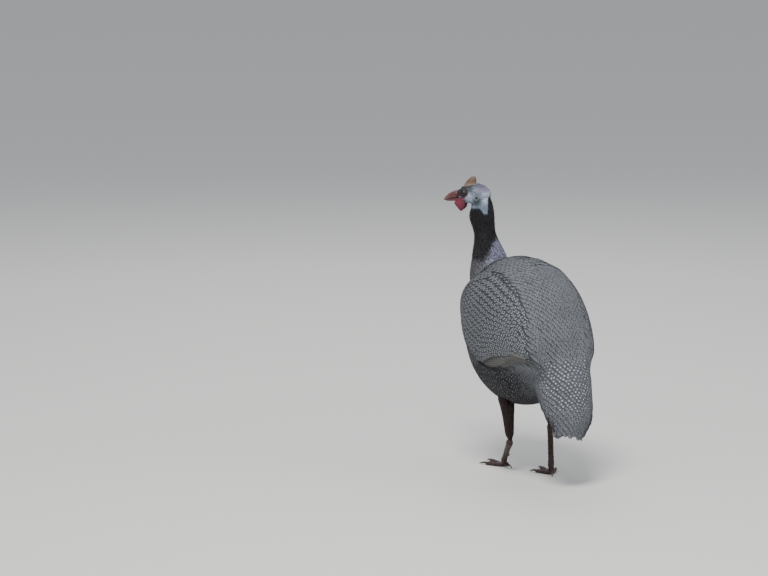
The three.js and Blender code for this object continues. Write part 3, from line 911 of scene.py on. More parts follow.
class Coat:
    """One piece of the coat: vanes and spots gathered, then made a single mesh."""

    def __init__(self, name, slot, finishes, ridge=0.20 * MM, shape=outline,
                 v_steps=V_STEPS, u_steps=U_STEPS):
        self.name, self.slot, self.finishes = name, slot, finishes
        self.ridge, self.shape, self.v, self.u = ridge, shape, v_steps, u_steps
        self.fray = 0.25 * MM  # how uneven the tips are
        self.points, self.faces, self.slots = [], [], []
        self.tints, self.bake, self.vane_uv = [], [], []
        self.start = 0

    def add(self, points, faces, slots, tints, bake, vane_uv):
        """Many copies of one pattern of faces: the arrays are copies by vertices."""
        many, each = points.shape[:2]
        offsets = self.start + np.arange(many) * each
        self.points.append(points.reshape(-1, 3))
        self.faces.append((faces[None] + offsets[:, None, None]).reshape(-1, 3))
        self.slots.append(np.tile(slots, many))
        self.tints.append(tints.reshape(-1, 3))
        self.bake.append(bake.reshape(-1, 2))
        self.vane_uv.append(vane_uv.reshape(-1, 2))
        self.start += many * each

    def lay(self, field, root, length, half, tint, yaw, base, rise, roll, camber, shade=0.55, edge=1.08):
        """Lays one vane from each root down the lie; the lengths and the yaw may be one per vane."""
        many, rows, columns = len(root), len(self.v), len(self.u)
        length, half, base, rise, roll, camber = (
            np.broadcast_to(value, many) for value in (length, half, base, rise, roll, camber)
        )
        station, turn = root[:, 0].copy(), root[:, 1].copy()
        spine = np.empty((many, rows, 3))
        normal = np.empty((many, rows, 3))
        for k in range(rows):
            if k:
                step = length * (self.v[k] - self.v[k - 1])
                down = np.linalg.norm(field.take(field.down, station, turn), axis=1)
                around = np.maximum(np.linalg.norm(field.take(field.round, station, turn), axis=1), 3 * MM)
                station = station + step * np.cos(yaw) / down
                turn = turn + step * np.sin(yaw) / around
            spine[:, k] = field.at(station, turn)
            normal[:, k] = unit(field.take(field.normals, station, turn))
        along = unit(np.gradient(spine, axis=1))
        side = unit(np.cross(along, normal))
        width = half[:, None] * self.shape(self.v)
        height = base[:, None] + rise[:, None] * (1 - (1 - self.v) ** 1.4)
        share = width / half[:, None]
        across = self.u[None, None, :] * width[..., None]
        lift = height[..., None] + roll[:, None, None] * self.u * share[..., None]
        lift = lift - camber[:, None, None] * (self.u * share[..., None]) ** 2
        top = spine[:, :, None] + side[:, :, None] * across[..., None]
        top = top + normal[:, :, None] * lift[..., None]
        fray = rng.normal(0, 1, (many, 2, columns)) * self.v[[-2, -1]][None, :, None] * self.fray
        top[:, -2:] += along[:, -2:, None] * fray[..., None]
        keel = spine + normal * (height - self.ridge)[..., None]
        points = np.concatenate([top.reshape(many, rows * columns, 3), keel], axis=1)
        u_all = np.concatenate([np.tile(self.u, rows), np.zeros(rows)])
        v_all = np.concatenate([np.repeat(self.v, columns), self.v])
        # painted shade: each vane and plate is darkened toward its root, where the ones above cover it; its
        # edges and tip are a little paler, as a fringe
        dim = shade + (1 - shade) * smoothstep(v_all, 0.35, 0.85)
        dim = dim * (1 + (edge - 1) * smoothstep(np.maximum(np.abs(u_all), (v_all - 0.8) * 5), 0.5, 1))
        tints = np.clip(tint[:, None, :] * dim[None, :, None], 0, 1)
        turned, along_it = np.mod(root[:, 1] / math.tau, 1), np.clip(root[:, 0] / field.length, 0, 1)
        place = BAKE_EDGE + (1 - 2 * BAKE_EDGE) * np.stack([turned, along_it], axis=1)
        bake = place[:, None] + np.stack([u_all * 0.0015, (v_all - 0.5) * 0.003], axis=1)
        vane_uv = np.broadcast_to(np.stack([u_all / 2 + 0.5, v_all], axis=1), (many, len(u_all), 2))
        faces = vane_triangles(rows, columns)
        self.add(points, faces, np.zeros(len(faces), int), tints, bake, vane_uv)
        self.last = top, place

    def spots(self, chosen, u, v, across, along, raised=0.08 * MM, ring=1.3, sides=6,
              cap_slot=WHITE_CAP):
        """One spot on each chosen vane of the last lot, at its own place across and along it."""
        top, place = self.last
        which = np.flatnonzero(chosen)
        if not len(which):
            return
        u, v, across, along = (np.broadcast_to(value, len(top))[which] for value in (u, v, across, along))
        k = np.clip(np.searchsorted(self.v, v) - 1, 0, len(self.v) - 2)
        c = np.clip(np.searchsorted(self.u, u) - 1, 0, len(self.u) - 2)
        f = (v - self.v[k]) / (self.v[k + 1] - self.v[k])
        g = (u - self.u[c]) / (self.u[c + 1] - self.u[c])
        corner, beside, below = top[which, k, c], top[which, k, c + 1], top[which, k + 1, c]
        middle = blend(blend(corner, beside, g), blend(below, top[which, k + 1, c + 1], g), f)
        cross, down = unit(beside - corner), unit(below - corner)
        out = unit(np.cross(cross, down))
        angle = (np.arange(sides) + 0.5) * math.tau / sides
        cap = cross[:, None] * (across[:, None] * np.cos(angle))[..., None]
        cap = cap + down[:, None] * (along[:, None] * np.sin(angle))[..., None]
        skirt = cap + unit(cap) * ((ring - 1) * np.minimum(across, along))[:, None, None]
        cap_points = middle[:, None] + cap + out[:, None] * raised
        skirt_points = middle[:, None] + skirt - out[:, None] * (0.03 * MM)
        points = np.concatenate([cap_points, skirt_points], axis=1)
        faces, slots = spot_triangles(sides, cap_slot)
        many, each = points.shape[:2]
        tints = np.tile(SPOT_WHITE, (many, each, 1))
        bake = np.broadcast_to(place[which][:, None], (many, each, 2))
        self.add(points, faces, slots, tints, bake, np.full((many, each, 2), 0.5))

    def made(self):
        points, faces = np.vstack(self.points), np.vstack(self.faces)
        points[:, 2] = np.maximum(points[:, 2], 0.0)
        mesh = make_mesh(self.name, points, faces, np.concatenate(self.slots))
        set_attribute(mesh, "tint", np.vstack(self.tints))
        for layer, values in (("OFBake", np.vstack(self.bake)), ("Vane", np.vstack(self.vane_uv))):
            uv = mesh.uv_layers.new(name=layer)
            uv.data.foreach_set("uv", values[faces.ravel()].astype(np.float32).ravel())
        for finish in self.finishes:
            mesh.materials.append(finish)
        obj = make_object(self.name, mesh)
        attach(obj, "root")
        print(self.name, len(faces), "triangles")


# Laying the coat

BODY_FORM = ["trunk", "wing_left", "wing_right", "tail", "neck", "head"]
WING_LIFT = 2.0 * MM  # how far the wings' coat stands out over the body's
LIFT_FADE = 45 * MM  # over how much of the wing, below its upper edge, the lift grows
WING_TONE = 0.72
HEAD_FOOT = 0.405  # above this height the axis runs up behind the face
NAPE_REACH = 28 * MM


def scattered(points, triangles, steps=6):
    """Places spread over every triangle."""
    a, b = np.meshgrid(np.arange(steps + 1), np.arange(steps + 1))
    inside = a + b <= steps
    weights = np.stack([a[inside], b[inside], steps - a[inside] - b[inside]], axis=1) / steps
    return np.einsum("wk,tkc->twc", weights, points[triangles]).reshape(-1, 3)


WING_ALONG = unit(np.array([0, 0.93, -0.37]))
WING_UP = np.array([0, 0.37, 0.93])
WING_TIP = 57 * MM  # along the wing's own axis
TIP_TOP = 243 * MM  # the upper edge's height at the tip, and how fast it comes down to it
WING_TAPER = 1.26
WING_FAR = 0.25  # well outside the bird, where rays at the wing start

# Where the body's tracts end, on the bird's axes
UNDER_WING = 30 * MM  # inside the wing's edges, where the black below ends
WING_INSET = 14 * MM  # inside the wing's edges, where the body's feathers end
WING_AHEAD = 11 * MM  # and how far short of the wing they end behind its bend
WING_BEND = -0.02
NECK_LOW = 0.345
NECK_REAR = -0.095


def wing_edges(word):
    """How high the wing's lower and upper edges are at each station along it, on the wing's own axes."""
    places = scattered(*node_points(f"wing_{word}"))
    run, high = places @ WING_ALONG, places @ WING_UP
    stations = np.linspace(run.min() + 3 * MM, WING_TIP, 70)
    edges = []
    for at in stations:
        near = np.abs(run - at) < 5 * MM
        edges.append((high[near].min(), high[near].max()))
    edges = np.array(edges)
    edges[:, 0] += 7 * MM * smoothstep(stations, -0.15, -0.05)
    edges[:, 1] = np.minimum(edges[:, 1], TIP_TOP + WING_TAPER * (WING_TIP - stations))
    return stations, softened(edges, 6, 0)


WING_EDGES = {side: wing_edges(word) for word, side in SIDES.items()}


def on_wing(points, inset, fade=0.1 * MM):
    """1 where a wing covers a place by the inset or more, fading in below the wing's upper edge."""
    covered = np.zeros(points.shape[:-1])
    run, high = points @ WING_ALONG, points @ WING_UP
    for side, (stations, edges) in WING_EDGES.items():
        low, top = np.interp(run, stations, edges[:, 0]), np.interp(run, stations, edges[:, 1])
        room = np.minimum(inset, 0.25 * (top - low))
        inside = (high > low + 0.4 * room) & (high < top - room) & (points[..., 0] * side > 12 * MM)
        inside &= (run > stations[0] + inset) & (run < stations[-1] - 0.3 * inset)
        covered = np.where(inside, smoothstep(top - room - high, 0.0, fade), covered)
    return covered


def wing_patch(field, side):
    """The wing's outer face, from its bend to its tip and from its upper edge to its lower."""
    stations, edges = WING_EDGES[side]
    share = np.linspace(0, 1, 36)
    tree = field.tree()
    points = np.empty((len(stations), len(share), 3))
    for i, at in enumerate(stations):
        rear = smoothstep(at, -30 * MM, 40 * MM)
        for j, s in enumerate(share):
            wanted = edges[i, 1] + (edges[i, 0] - edges[i, 1]) * s
            tilt = math.radians(45) * max(0.8 * (1 - s), rear)
            out = LEFT * side * math.cos(tilt) + WING_UP * math.sin(tilt)
            high = wanted - 30 * MM * math.tan(tilt)
            for _ in range(4):
                start = WING_ALONG * at + WING_UP * high + out * WING_FAR
                hit = tree.ray_cast(Vector(start), Vector(-out), 0.4)[0]
                if hit is None:
                    high -= 4 * MM
                    continue
                points[i, j] = hit
                high += wanted - points[i, j] @ WING_UP
    for _ in range(6):
        inner = points[1:-1] * 0.5 + 0.25 * (points[:-2] + points[2:])
        points = np.concatenate([points[:1], inner, points[-1:]])
        inner = points[:, 1:-1] * 0.5 + 0.25 * (points[:, :-2] + points[:, 2:])
        points = np.concatenate([points[:, :1], inner, points[:, -1:]], axis=1)
    return Patch(points if side > 0 else points[:, ::-1])


def body_field():
    surface = tree_of(*united(BODY_FORM, 3.0 * MM))

    def cap(line):
        return np.where(line[:, 2] > HEAD_FOOT, NAPE_REACH, 1.0)

    field = Field(COAT_AXIS, surface, 0.26, 3.0 * MM, 144, (8, 10), cap)
    share = softened(on_wing(field.points, 2 * MM, LIFT_FADE), 3, 3)
    field.place(field.points + field.normals * (share * WING_LIFT)[..., None])
    return field


def jitter(count, size):
    return rng.normal(0, size, count)


def tinted(root_points, share=0.12):
    """The lie's own colour at each root, a little different from feather to feather."""
    colour = body_colours(root_points)
    return colour * (1 + jitter(len(colour), share))[:, None]


def regions(field, root):
    """Which tract each root is in, its place, and its turn from the upper side."""
    station, turn = root.T
    place = field.at(station, turn)
    signed = (turn + math.pi) % math.tau - math.pi
    y, z = place.T[1:]
    upper = np.abs(signed) < math.radians(88)
    ahead = field.at(station + WING_AHEAD, turn)
    wing = (on_wing(place, WING_INSET) > 0) | ((on_wing(ahead, 5 * MM) > 0) & (y > WING_BEND))
    neck = (z > NECK_LOW) & (y < NECK_REAR)
    tract = np.full(len(root), "breast", dtype="<U12")
    tract[~upper & (y > -0.055)] = "belly"
    tract[upper] = "mantle"
    tract[upper & (y > 0.045)] = "rump"
    tract[~upper & (y > 0.085)] = "vent"
    tract[wing] = "wing"
    tract[neck] = "neck"
    front = (y < -0.07) & (tract == "mantle")
    tract[front & (np.abs(signed) > math.radians(60))] = "breast"
    return tract, place, signed


def hackle_outline(v):
    """A thin feather's: narrow, drawn out to a point."""
    body = 0.45 + 0.55 * np.sin(np.clip(v / 0.45, 0, 1) * math.pi / 2)
    return body * (1 - np.clip((v - 0.5) / 0.53, 0, 1) ** 2)


HACKLE_STEPS = np.array([0, 0.3, 0.6, 0.85, 1.0])
NECK_END = 0.122  # the hackles' last row, down the lie from the head
BODY_START, BODY_END = 0.085, 0.56  # the body's first row and its last possible one
TAIL_END = 14 * MM  # what the body's rows leave free at the end of the tail
TAIL_ROOT = 0.080  # where the tail feathers start, up from its end
THIGH_TOP = 12 * MM  # how much of the thigh's solid is its upper end
COVERT_COLUMNS = 16


def make_neck_coat(field, finishes):
    """Thin black hackles down the neck, wider and paler feathers over the collar."""
    root = field.rows(2.3 * MM, 2.3 * MM, 1 * MM, NECK_END)
    root[:, 1] += jitter(len(root), 0.03)
    tract, place, _ = regions(field, root)
    bare = feather_line(to_head(place))
    chosen = (tract == "neck") & (bare > 0.25)
    root, place, bare = root[chosen], place[chosen], bare[chosen]
    low = 1 - smoothstep(place[:, 2], 0.330, 0.380)
    full = 0.55 + 0.45 * smoothstep(bare, 0.25, 0.95)
    coat = Coat("coat_neck", "dark_plumage", finishes, 0.12 * MM, hackle_outline,
                HACKLE_STEPS, U_STEPS[::2])
    many = len(root)
    length = (9.0 + 7 * low) * full * MM * (1 + jitter(many, 0.12))
    half = (0.95 + 1.9 * low) * full * MM
    tint, yaw = tinted(place, 0.2), jitter(many, 0.15)
    rise = (1.9 + 0.6 * low) * full * MM * (1 + jitter(many, 0.15))
    coat.lay(field, root, length, half, tint, yaw, -NECK_COAT + 0.2 * MM, rise, 0.1 * MM, 0.15 * MM, 0.7)
    coat.made()


def spot_sizes(place, signed):
    """How big the spots are where a feather lies: pin-pricks on the mantle, pearls on the tail coverts."""
    y, z = place[:, 1], place[:, 2]
    covert = smoothstep(y, 0.085, 0.125) * (1 - smoothstep(z, 0.195, 0.235)) * smoothstep(z, 0.125, 0.155)
    covert = covert * (1 - smoothstep(np.abs(signed), math.radians(38), math.radians(80)))
    return (0.55 + 0.12 * smoothstep(y, 0.0, 0.08) + 0.48 * covert) * MM


def make_body_coat(field, finishes):
    """Feathers in rows over the trunk, its tracts each a piece, with spots that grow to the rear."""
    root = field.rows(5.0 * MM, 7.6 * MM, BODY_START, BODY_END)
    root[:, 1] += jitter(len(root), 0.004)
    tract, place, signed = regions(field, root)
    valid = field.found(root) & (root[:, 0] < field.length - TAIL_END)
    for name in ("breast", "mantle", "rump", "belly", "vent"):
        chosen = valid & (tract == name)
        places = place[chosen]
        many = len(places)
        coat = Coat(f"coat_{name}", "plumage", finishes)
        length, tint = 17 * MM * (1 + jitter(many, 0.04)), tinted(places, 0.05)
        yaw, base = jitter(many, 0.04), -BODY_COAT + 1.0 * MM + jitter(many, 0.06 * MM)
        coat.lay(field, root[chosen], length, 5.3 * MM, tint, yaw, base, 1.7 * MM, 0.14 * MM, 0.24 * MM,
                 0.82, 1.04)
        collar = smoothstep(places[:, 2], 0.265, 0.305) * (1 - smoothstep(places[:, 1], -0.100, -0.070))
        marked = rng.random(many) >= collar
        size = spot_sizes(places, signed[chosen]) * (1 + jitter(many, 0.08))
        if name == "belly":
            dashed, dull = rng.random(many) < 0.8, rng.random(many) < 0.5
            for shown, cap in ((dull, GREY_CAP), (~dull, WHITE_CAP)):
                shown = dashed & shown & marked
                coat.spots(shown, jitter(many, 0.06), 0.88, 1.4 * MM, 0.45 * MM, cap_slot=cap)
            coat.spots(~dashed, jitter(many, 0.2), 0.72, 0.7 * MM, 0.5 * MM, cap_slot=GREY_CAP)
            coat.made()
            continue
        big, soft = size > 0.9 * MM, rng.random(many) < 0.4
        for shown, share, cap in ((soft, 0.9, GREY_CAP), (~soft, 1.0, WHITE_CAP)):
            half = size * share
            coat.spots(big & shown & marked, jitter(many, 0.05), 0.86, half, half, 0.08 * MM, 1.25, 8, cap)
        for u, v in ((-0.36, 0.74), (0.36, 0.74), (-0.36, 0.90), (0.36, 0.90)):
            there = ~big & marked & (rng.random(many) < 0.93)
            coat.spots(there, u, v, size * 0.8, size * 1.1, 0.06 * MM, 1.2, 5, GREY_CAP)
        coat.made()


def make_wing_coverts(patch, side, word, finishes):
    """Wing coverts in columns that draw together at the tip, dashed so that fine lines run down it."""
    share = tiled(5.8 * MM / patch.length, COVERT_COLUMNS, 0.01, 0.96, 0.02, covert_reach)
    crowd = 1 + (share[:, 0] > 0.74) + 2 * (share[:, 0] > 0.87)
    kept = np.arange(len(share)) % COVERT_COLUMNS % crowd == 0
    share, crowd = share[kept], crowd[kept]
    many = len(share)
    share[:, 1] += jitter(many, 0.002)
    along, across = share.T
    root = np.stack([along * patch.length, patch.turn(across if side > 0 else 1 - across)], axis=1)
    width = patch.radius(root) * math.tau * covert_reach(along) / COVERT_COLUMNS
    half = np.clip(0.72 * width * crowd, 2.2 * MM, 6.5 * MM)
    coat = Coat(f"coat_wing_{word}", "plumage", finishes)
    tint = np.outer(WING_TONE * (1 + jitter(many, 0.06)), SLATE)
    length = (20 - 6 * smoothstep(along, 0.70, 0.93)) * MM * (1 + jitter(many, 0.04))
    base = -BODY_COAT + (0.6 + 0.5 * across) * MM
    coat.lay(patch, root, length, half, tint, jitter(many, 0.02), base, 1.9 * MM, 0.14 * MM, 0.24 * MM,
             0.75, 1.04)
    narrow = np.clip(half / (6 * MM), 0.5, 1.0)
    every = np.ones(many, bool)
    for u in (-0.30, 0.30):
        coat.spots(every, u, 0.87, 0.50 * MM * narrow, 1.5 * MM, 0.06 * MM, 1.3)
        some = rng.random(many) < 0.8
        coat.spots(some, u, 0.71, 0.42 * MM * narrow, 0.9 * MM, 0.06 * MM, 1.2, 5, GREY_CAP)
    coat.made()


def covert_reach(along):
    """How far across the wing, from its upper edge, the coverts reach."""
    return 0.97 - 0.19 * smoothstep(along, 0.40, 0.66)


def make_quills(patch, side, word, finishes):
    """Secondaries and primaries: long plain feathers stacked along the wing's lower edge to its tip."""
    coat = Coat(f"quills_{word}", "plumage", finishes, 0.3 * MM, long_outline, np.linspace(0, 1, 24) ** 0.9)
    many = 8
    rank = np.arange(many)
    share = 0.985 - 0.030 * rank
    across = share if side > 0 else 1 - share
    root = np.stack([(0.30 + 0.010 * rank) * patch.length, patch.turn(across)], axis=1)
    reach = (0.70 - 0.020 * rank) * patch.length
    tint = np.outer(1 + jitter(many, 0.05), BROWN_GREY)
    coat.lay(patch, root, reach, 5.6 * MM, tint, 0.0, (-2.6 + 0.13 * rank) * MM, 1.2 * MM,
             -0.30 * side * MM, 0.25 * MM, 0.9, 1.35)
    for v in np.arange(0.12, 0.97, 0.030):
        where = v + 0.004 * rank
        coat.spots(rank % 2 == 0, 0.72 * side, where, 0.25 * MM, 0.7 * MM, 0.05 * MM, 1.2, 5, GREY_CAP)
    coat.made()


def make_tail(field, finishes):
    """Sixteen tail feathers, fanned under the coverts and bent with the tail's droop."""
    coat = Coat("tail_feathers", "plumage", finishes, 0.3 * MM, long_outline, np.linspace(0, 1, 22) ** 0.9)
    many = 16
    fan = np.linspace(-1, 1, many)
    station = np.full(many, field.length - TAIL_ROOT)
    root = np.stack([station, np.mod(fan * math.radians(66), math.tau)], axis=1)
    tint = np.outer(0.8 + jitter(many, 0.04), SLATE)
    reach = 88 - 3 * np.abs(fan) - 4 * fan
    base = (-2.7 - 0.8 * np.abs(fan)) * MM
    coat.lay(field, root, reach * MM, 8.5 * MM, tint, fan * 0.05, base, 1.0 * MM, 0.3 * MM, 0.4 * MM,
             0.85, 1.3)
    for v in np.arange(0.40, 0.98, 0.050):
        for u in (-0.5, 0.5):
            coat.spots(np.ones(many, bool), u, v, 0.6 * MM, 0.6 * MM, cap_slot=GREY_CAP)
    coat.made()


def limb_ends(name, upper):
    """The middles of a limb's upper and lower ends."""
    points = node_points(name)[0]
    low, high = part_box(name)
    top = points[points[:, 2] > high[2] - upper].mean(axis=0)
    return top, points[points[:, 2] < low[2] + 6 * MM].mean(axis=0)


def make_scutes(finish):
    """Overlapping plates down the front of each shank and along the top of each toe."""
    for side in SIDES:
        coat = Coat(f"scutes_{side}", "leg_scale", [finish], 0.12 * MM, scute_outline, SCUTE_STEPS)
        top, foot = limb_ends(f"shank_{side}", 6 * MM)
        surface = tree_of(*united([f"shank_{side}", f"foot_{side}"], 0.7 * MM, 0.0))
        lay_scutes(coat, surface, top, foot, 14 * MM, 3.4 * MM, 5.2 * MM, 180)
        for toe in ("inner", "middle", "outer", "hind"):
            claw = node_points(f"claw_{side}_{toe}")[0]
            base = claw[np.argsort(np.linalg.norm(claw - foot, axis=1))[:6]].mean(axis=0)
            start = foot * [1, 1, 0] + [0, 0, base[2] + 1 * MM]
            start = start + 0.12 * (base - start)
            lay_scutes(coat, surface, start, base, 9 * MM, 2.3 * MM, 4.6 * MM, 75)
        coat.made()


SCUTE_STEPS = np.array([0, 0.5, 0.8, 1.0])


def scute_outline(v):
    """A leg plate's: broad, with a gently rounded lower edge."""
    return 0.95 + 0.05 * v - 0.22 * smoothstep(v, 0.75, 1.0)


def lay_scutes(coat, surface, top, foot, reach, exposure, spacing, widest):
    """Plates from one end of a limb to the other, as far round it as the widest angle in degrees."""
    axis = [top, (top + foot) / 2, foot]
    field = Field(axis, surface, reach, 1.0 * MM, 36, (3, 2), lambda line: 8 * MM, 2 * MM)
    root = field.rows(exposure, spacing, 0.5 * MM, max(field.length - exposure * 1.2, 2 * MM))
    signed = (root[:, 1] + math.pi) % math.tau - math.pi
    root = root[field.found(root) & (np.abs(signed) < math.radians(widest))]
    many = len(root)
    if many:
        tint = np.outer(1.15 + jitter(many, 0.12), LEG_BROWN)
        half = 0.62 * spacing
        wrap = half**2 / (2 * np.maximum(field.radius(root), 0.8 * half))
        coat.lay(field, root, exposure * 1.5, half, tint, 0.0, 0.05 * MM, 0.40 * MM, 0.0, wrap, 0.85, 1.15)


def make_thigh_coat(finishes):
    for side in SIDES:
        name = f"thigh_{side}"
        top, foot = limb_ends(name, THIGH_TOP)
        surface = tree_of(*united([name], 1.2 * MM))
        rise = unit(top - foot)
        inside = top + rise * 12 * MM  # within the belly
        field = Field([inside, (top + foot) / 2, foot - rise * 1 * MM], surface, 0.05, 2 * MM, 48, (3, 2))
        root = field.rows(2.8 * MM, 3.0 * MM, 1 * MM, field.length + 0.02)
        root = root[field.found(root) | (root[:, 0] < 0.4 * field.length)]
        many = len(root)
        coat = Coat(f"coat_{name}", "dark_plumage", finishes, 0.14 * MM, hackle_outline,
                    HACKLE_STEPS, U_STEPS[::2])
        tint, yaw = np.outer(1 + jitter(many, 0.15), THIGH_BROWN), jitter(many, 0.14)
        base = -THIGH_COAT + 0.3 * MM
        coat.lay(field, root, 10 * MM, 1.7 * MM, tint, yaw, base, 1.7 * MM, 0.1 * MM, 0.2 * MM)
        coat.made()


# Horn, eyes and claws

def smooth_copy(names, voxel, rounds, swell=0.0):
    points, triangles = united(names, voxel, swell)
    return relaxed(points, triangles, rounds), triangles


def horn_finish(name, roughness, scale, depth):
    """Horn, bill and claw: growth lines, a worn lighter edge and a little coat."""
    made = Finish(name, roughness, 0.5, Coat_Roughness=0.3)
    hue = made.attribute("hue")
    grain = made.noise(scale, 4.0)
    fine = made.noise(scale * 5, 3.0)
    streaks = made.mixed(grain.clamped(0.3, 0.72) * 0.4, hue, (0.05, 0.03, 0.025))
    made.colour(made.mixed(fine.clamped(0.5, 0.85) * 0.10, streaks, (0.60, 0.50, 0.42)))
    made.roughness(grain * 0.25 + (roughness - 0.1))
    made.bump(grain + fine * 0.5, depth, 0.0006)
    return made.material


def scute_finish():
    """Leg plates: each one's own tint, worn and streaked."""
    made = Finish("leg_plate", 0.5, 0.45)
    tint = made.attribute("tint")
    grain = made.noise(700.0, 4.0)
    made.colour(made.mixed(grain.clamped(0.4, 0.75) * 0.4, tint, (0.010, 0.007, 0.006)))
    made.roughness(grain * 0.25 + 0.38)
    made.bump(grain, 0.5, 0.0002)
    return made.material


def finished(name, points, triangles, hue, material, nodes):
    obj = make_object(name, make_mesh(name, points, triangles))
    set_attribute(obj.data, "hue", hue)
    obj.data.materials.append(material)
    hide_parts(*nodes)
    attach(obj, "root")


def make_casque():
    points, triangles = smooth_copy(["casque"], 0.4 * MM, 8, 0.45 * MM)
    local = to_head(points)
    height = smoothstep(local[:, 2], 9 * MM, 27 * MM)
    ridge = np.sin(local[:, 2] / (1.1 * MM) + 0.8 * np.sin(local[:, 1] / (2.5 * MM)))
    points = points + vertex_normals(points, triangles) * (0.12 * MM * ridge * (1 - height))[:, None]
    hue = layered(len(points), CASQUE_FOOT, [(CASQUE_HORN, smoothstep(height, 0.15, 0.75))])
    finish = horn_finish("casque_horn", 0.5, 350.0, 0.6)
    finished("casque_horn", points, triangles, hue, finish, ["casque"])


def make_bill():
    finish = horn_finish("bill_horn", 0.38, 420.0, 0.35)
    for part, upper in (("bill_upper", 1), ("bill_lower", 0)):
        points, triangles = smooth_copy([part], 0.35 * MM, 6, 0.3 * MM)
        x, y, z = to_head(points).T / MM
        nostril = np.sqrt(((y + 54.5) / 1.9) ** 2 + ((z - 0.2) / 0.9) ** 2)
        open_nostril = upper * bell(nostril, 1.0) * smoothstep(np.abs(x), 1.0, 3.0)
        shelf = upper * 0.35 * (1 - smoothstep(-y, 56, 58))
        push = (shelf - 1.5 * open_nostril) * MM
        points = points + vertex_normals(points, triangles) * push[:, None]
        # painted shade: the open nostril's hollow is painted nearly black
        hue = layered(len(points), BILL_RED, [
            (np.array(BILL_RED) * 0.55, 1 - smoothstep(-y, 50, 57)),
            (BILL_TIP, 0.8 * smoothstep(-y, 60, 72)),
            (DARK_SKIN, 0.9 * open_nostril),
        ])
        finished(part + "_horn", points, triangles, hue, finish, [part])


def make_claws():
    nodes = [name for name in NODES if name.startswith("claw_")]
    points, triangles = smooth_copy(nodes, 0.3 * MM, 3, 0.2 * MM)
    points[:, 2] = np.maximum(points[:, 2], 0)
    hue = layered(len(points), CLAW_DARK, [])
    finished("claws", points, triangles, hue, horn_finish("claw_horn", 0.4, 500.0, 0.4), nodes)


def eye_finish():
    """A dark brown iris round a black pupil, under a clear gloss."""
    made = Finish("eye_gloss", 0.12, 0.25, Coat_Weight=0.35, Coat_Roughness=0.02)
    ring = made.attribute("ring", "Fac")
    threads = made.noise(2600.0, 3.0)
    stops = [(0.0, (0.002, 0.002, 0.002)), (0.30, (0.002, 0.002, 0.002)), (0.34, (0.016, 0.006, 0.004)),
             (0.60, (0.012, 0.005, 0.003)), (0.70, (0.008, 0.005, 0.005)), (1.0, (0.02, 0.015, 0.015))]
    iris = made.node("ShaderNodeValToRGB", {"stops": stops}, {"Fac": ring + threads * 0.03})
    made.colour(made.mixed(threads * 0.25, iris, (0.02, 0.008, 0.004)))
    return made.material


def make_eyes():
    finish = eye_finish()
    for word, side in SIDES.items():
        work = bmesh.new()
        bmesh.ops.create_uvsphere(work, u_segments=48, v_segments=32, radius=EYE_RADIUS)
        mesh = bpy.data.meshes.new(f"eyeball_{word}")
        work.to_mesh(mesh)
        work.free()
        points, triangles = read_mesh(mesh)
        bpy.data.meshes.remove(mesh)
        forward = unit(HEAD_TURN @ eye_axis(side))
        angle = np.arccos(np.clip(unit(points) @ forward, -1, 1))
        bulge = 1 + 0.035 * (1 - smoothstep(angle, 0.15, 0.75))
        points = points * bulge[:, None] + box_middle(f"eye_{word}")
        mesh = make_mesh(f"eyeball_{word}", points, triangles)
        set_attribute(mesh, "ring", angle / math.radians(75))
        mesh.materials.append(finish)
        obj = make_object(f"eyeball_{word}", mesh)
        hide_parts(f"eye_{word}")
        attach(obj, "root")


# Stage, light and camera

AZIMUTH = math.radians(156)
ELEVATION = math.radians(11.5)
CAMERA_REACH = 6.0
PICTURE = (768, 576)
PIXEL = 1.63 * MM  # at the bird
FLOOR_MARK = (525, 470)  # where the point under the bird's middle shows in the picture
SENSOR = 36.0


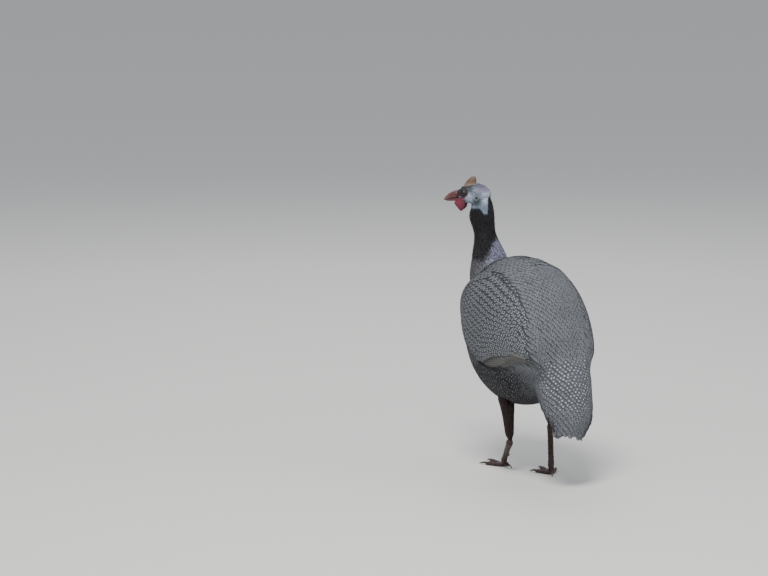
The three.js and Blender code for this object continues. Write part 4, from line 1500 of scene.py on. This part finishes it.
def make_camera():
    """Looks from the photograph's side, turned so that the floor mark falls on its pixel."""
    pixels = CAMERA_REACH / PIXEL
    data = bpy.data.cameras.new("camera")
    data.sensor_width = SENSOR
    data.lens = SENSOR * pixels / PICTURE[0]
    data.clip_end = 100
    camera = make_object("camera", data)
    level = math.cos(ELEVATION)
    back = Vector((math.sin(AZIMUTH) * level, -math.cos(AZIMUTH) * level, math.sin(ELEVATION)))
    camera.location = back * CAMERA_REACH
    want_x = (FLOOR_MARK[0] - PICTURE[0] / 2) / pixels
    want_y = (PICTURE[1] / 2 - FLOOR_MARK[1]) / pixels
    view = -back
    for _ in range(12):
        turn = view.to_track_quat("-Z", "Y").to_matrix()
        mark = turn.transposed() @ -camera.location
        right, up = turn.col[0], turn.col[1]
        view = (view + right * (mark.x / -mark.z - want_x) + up * (mark.y / -mark.z - want_y)).normalized()
    camera.rotation_euler = view.to_track_quat("-Z", "Y").to_euler()
    bpy.context.scene.camera = camera


def make_light(name, place, target, size, energy, colour=(1, 1, 1)):
    data = bpy.data.lights.new(name, "AREA")
    data.shape, data.size = "DISK", size
    data.energy, data.color = energy, colour
    lamp = make_object(name, data)
    lamp.location = place
    lamp.rotation_euler = (Vector(target) - Vector(place)).to_track_quat("-Z", "Y").to_euler()


def make_stage():
    mesh = bpy.data.meshes.new("floor")
    reach = 80.0
    corners = [(-reach, -reach, 0), (reach, -reach, 0), (reach, reach, 0), (-reach, reach, 0)]
    mesh.from_pydata(corners, [], [(0, 1, 2, 3)])
    floor = make_object("floor", mesh)
    made = Finish("pale_floor", 0.85, 0.2)
    grain = made.noise(30.0, 4.0)
    made.colour(made.mixed(grain * 0.12, (0.62, 0.61, 0.59), (0.52, 0.51, 0.50)))
    mesh.materials.append(made.material)
    world = bpy.data.worlds.new("studio")
    world.use_nodes = True
    sky = world.node_tree.nodes["Background"].inputs
    sky["Color"].default_value = (0.80, 0.84, 0.90, 1)
    sky["Strength"].default_value = 0.72
    bpy.context.scene.world = world
    middle = (0, 0, 0.25)
    make_light("key", (0.9, 1.3, 2.8), middle, 1.2, 105, (1.0, 0.98, 0.95))
    make_light("fill", (-1.8, 1.6, 1.4), middle, 2.2, 14, (0.95, 0.97, 1.0))
    make_light("back", (-0.6, -2.0, 2.2), middle, 1.8, 30)


make_camera()
make_stage()
FIELD = body_field()
make_skin(FIELD)
SPOTTED = [
    vane_finish("vane"), plain("spot_white", SPOT_WHITE, 0.7), plain("spot_ring", RING_DARK, 0.8),
    plain("spot_grey", SPOT_GREY, 0.7),
]
make_neck_coat(FIELD, SPOTTED)
make_body_coat(FIELD, SPOTTED)
for word, side in SIDES.items():
    wing = wing_patch(FIELD, side)
    make_wing_coverts(wing, side, word, SPOTTED)
    make_quills(wing, side, word, SPOTTED)
make_tail(FIELD, SPOTTED)
make_thigh_coat(SPOTTED)
make_scutes(scute_finish())
make_casque()
make_bill()
make_claws()
make_eyes()
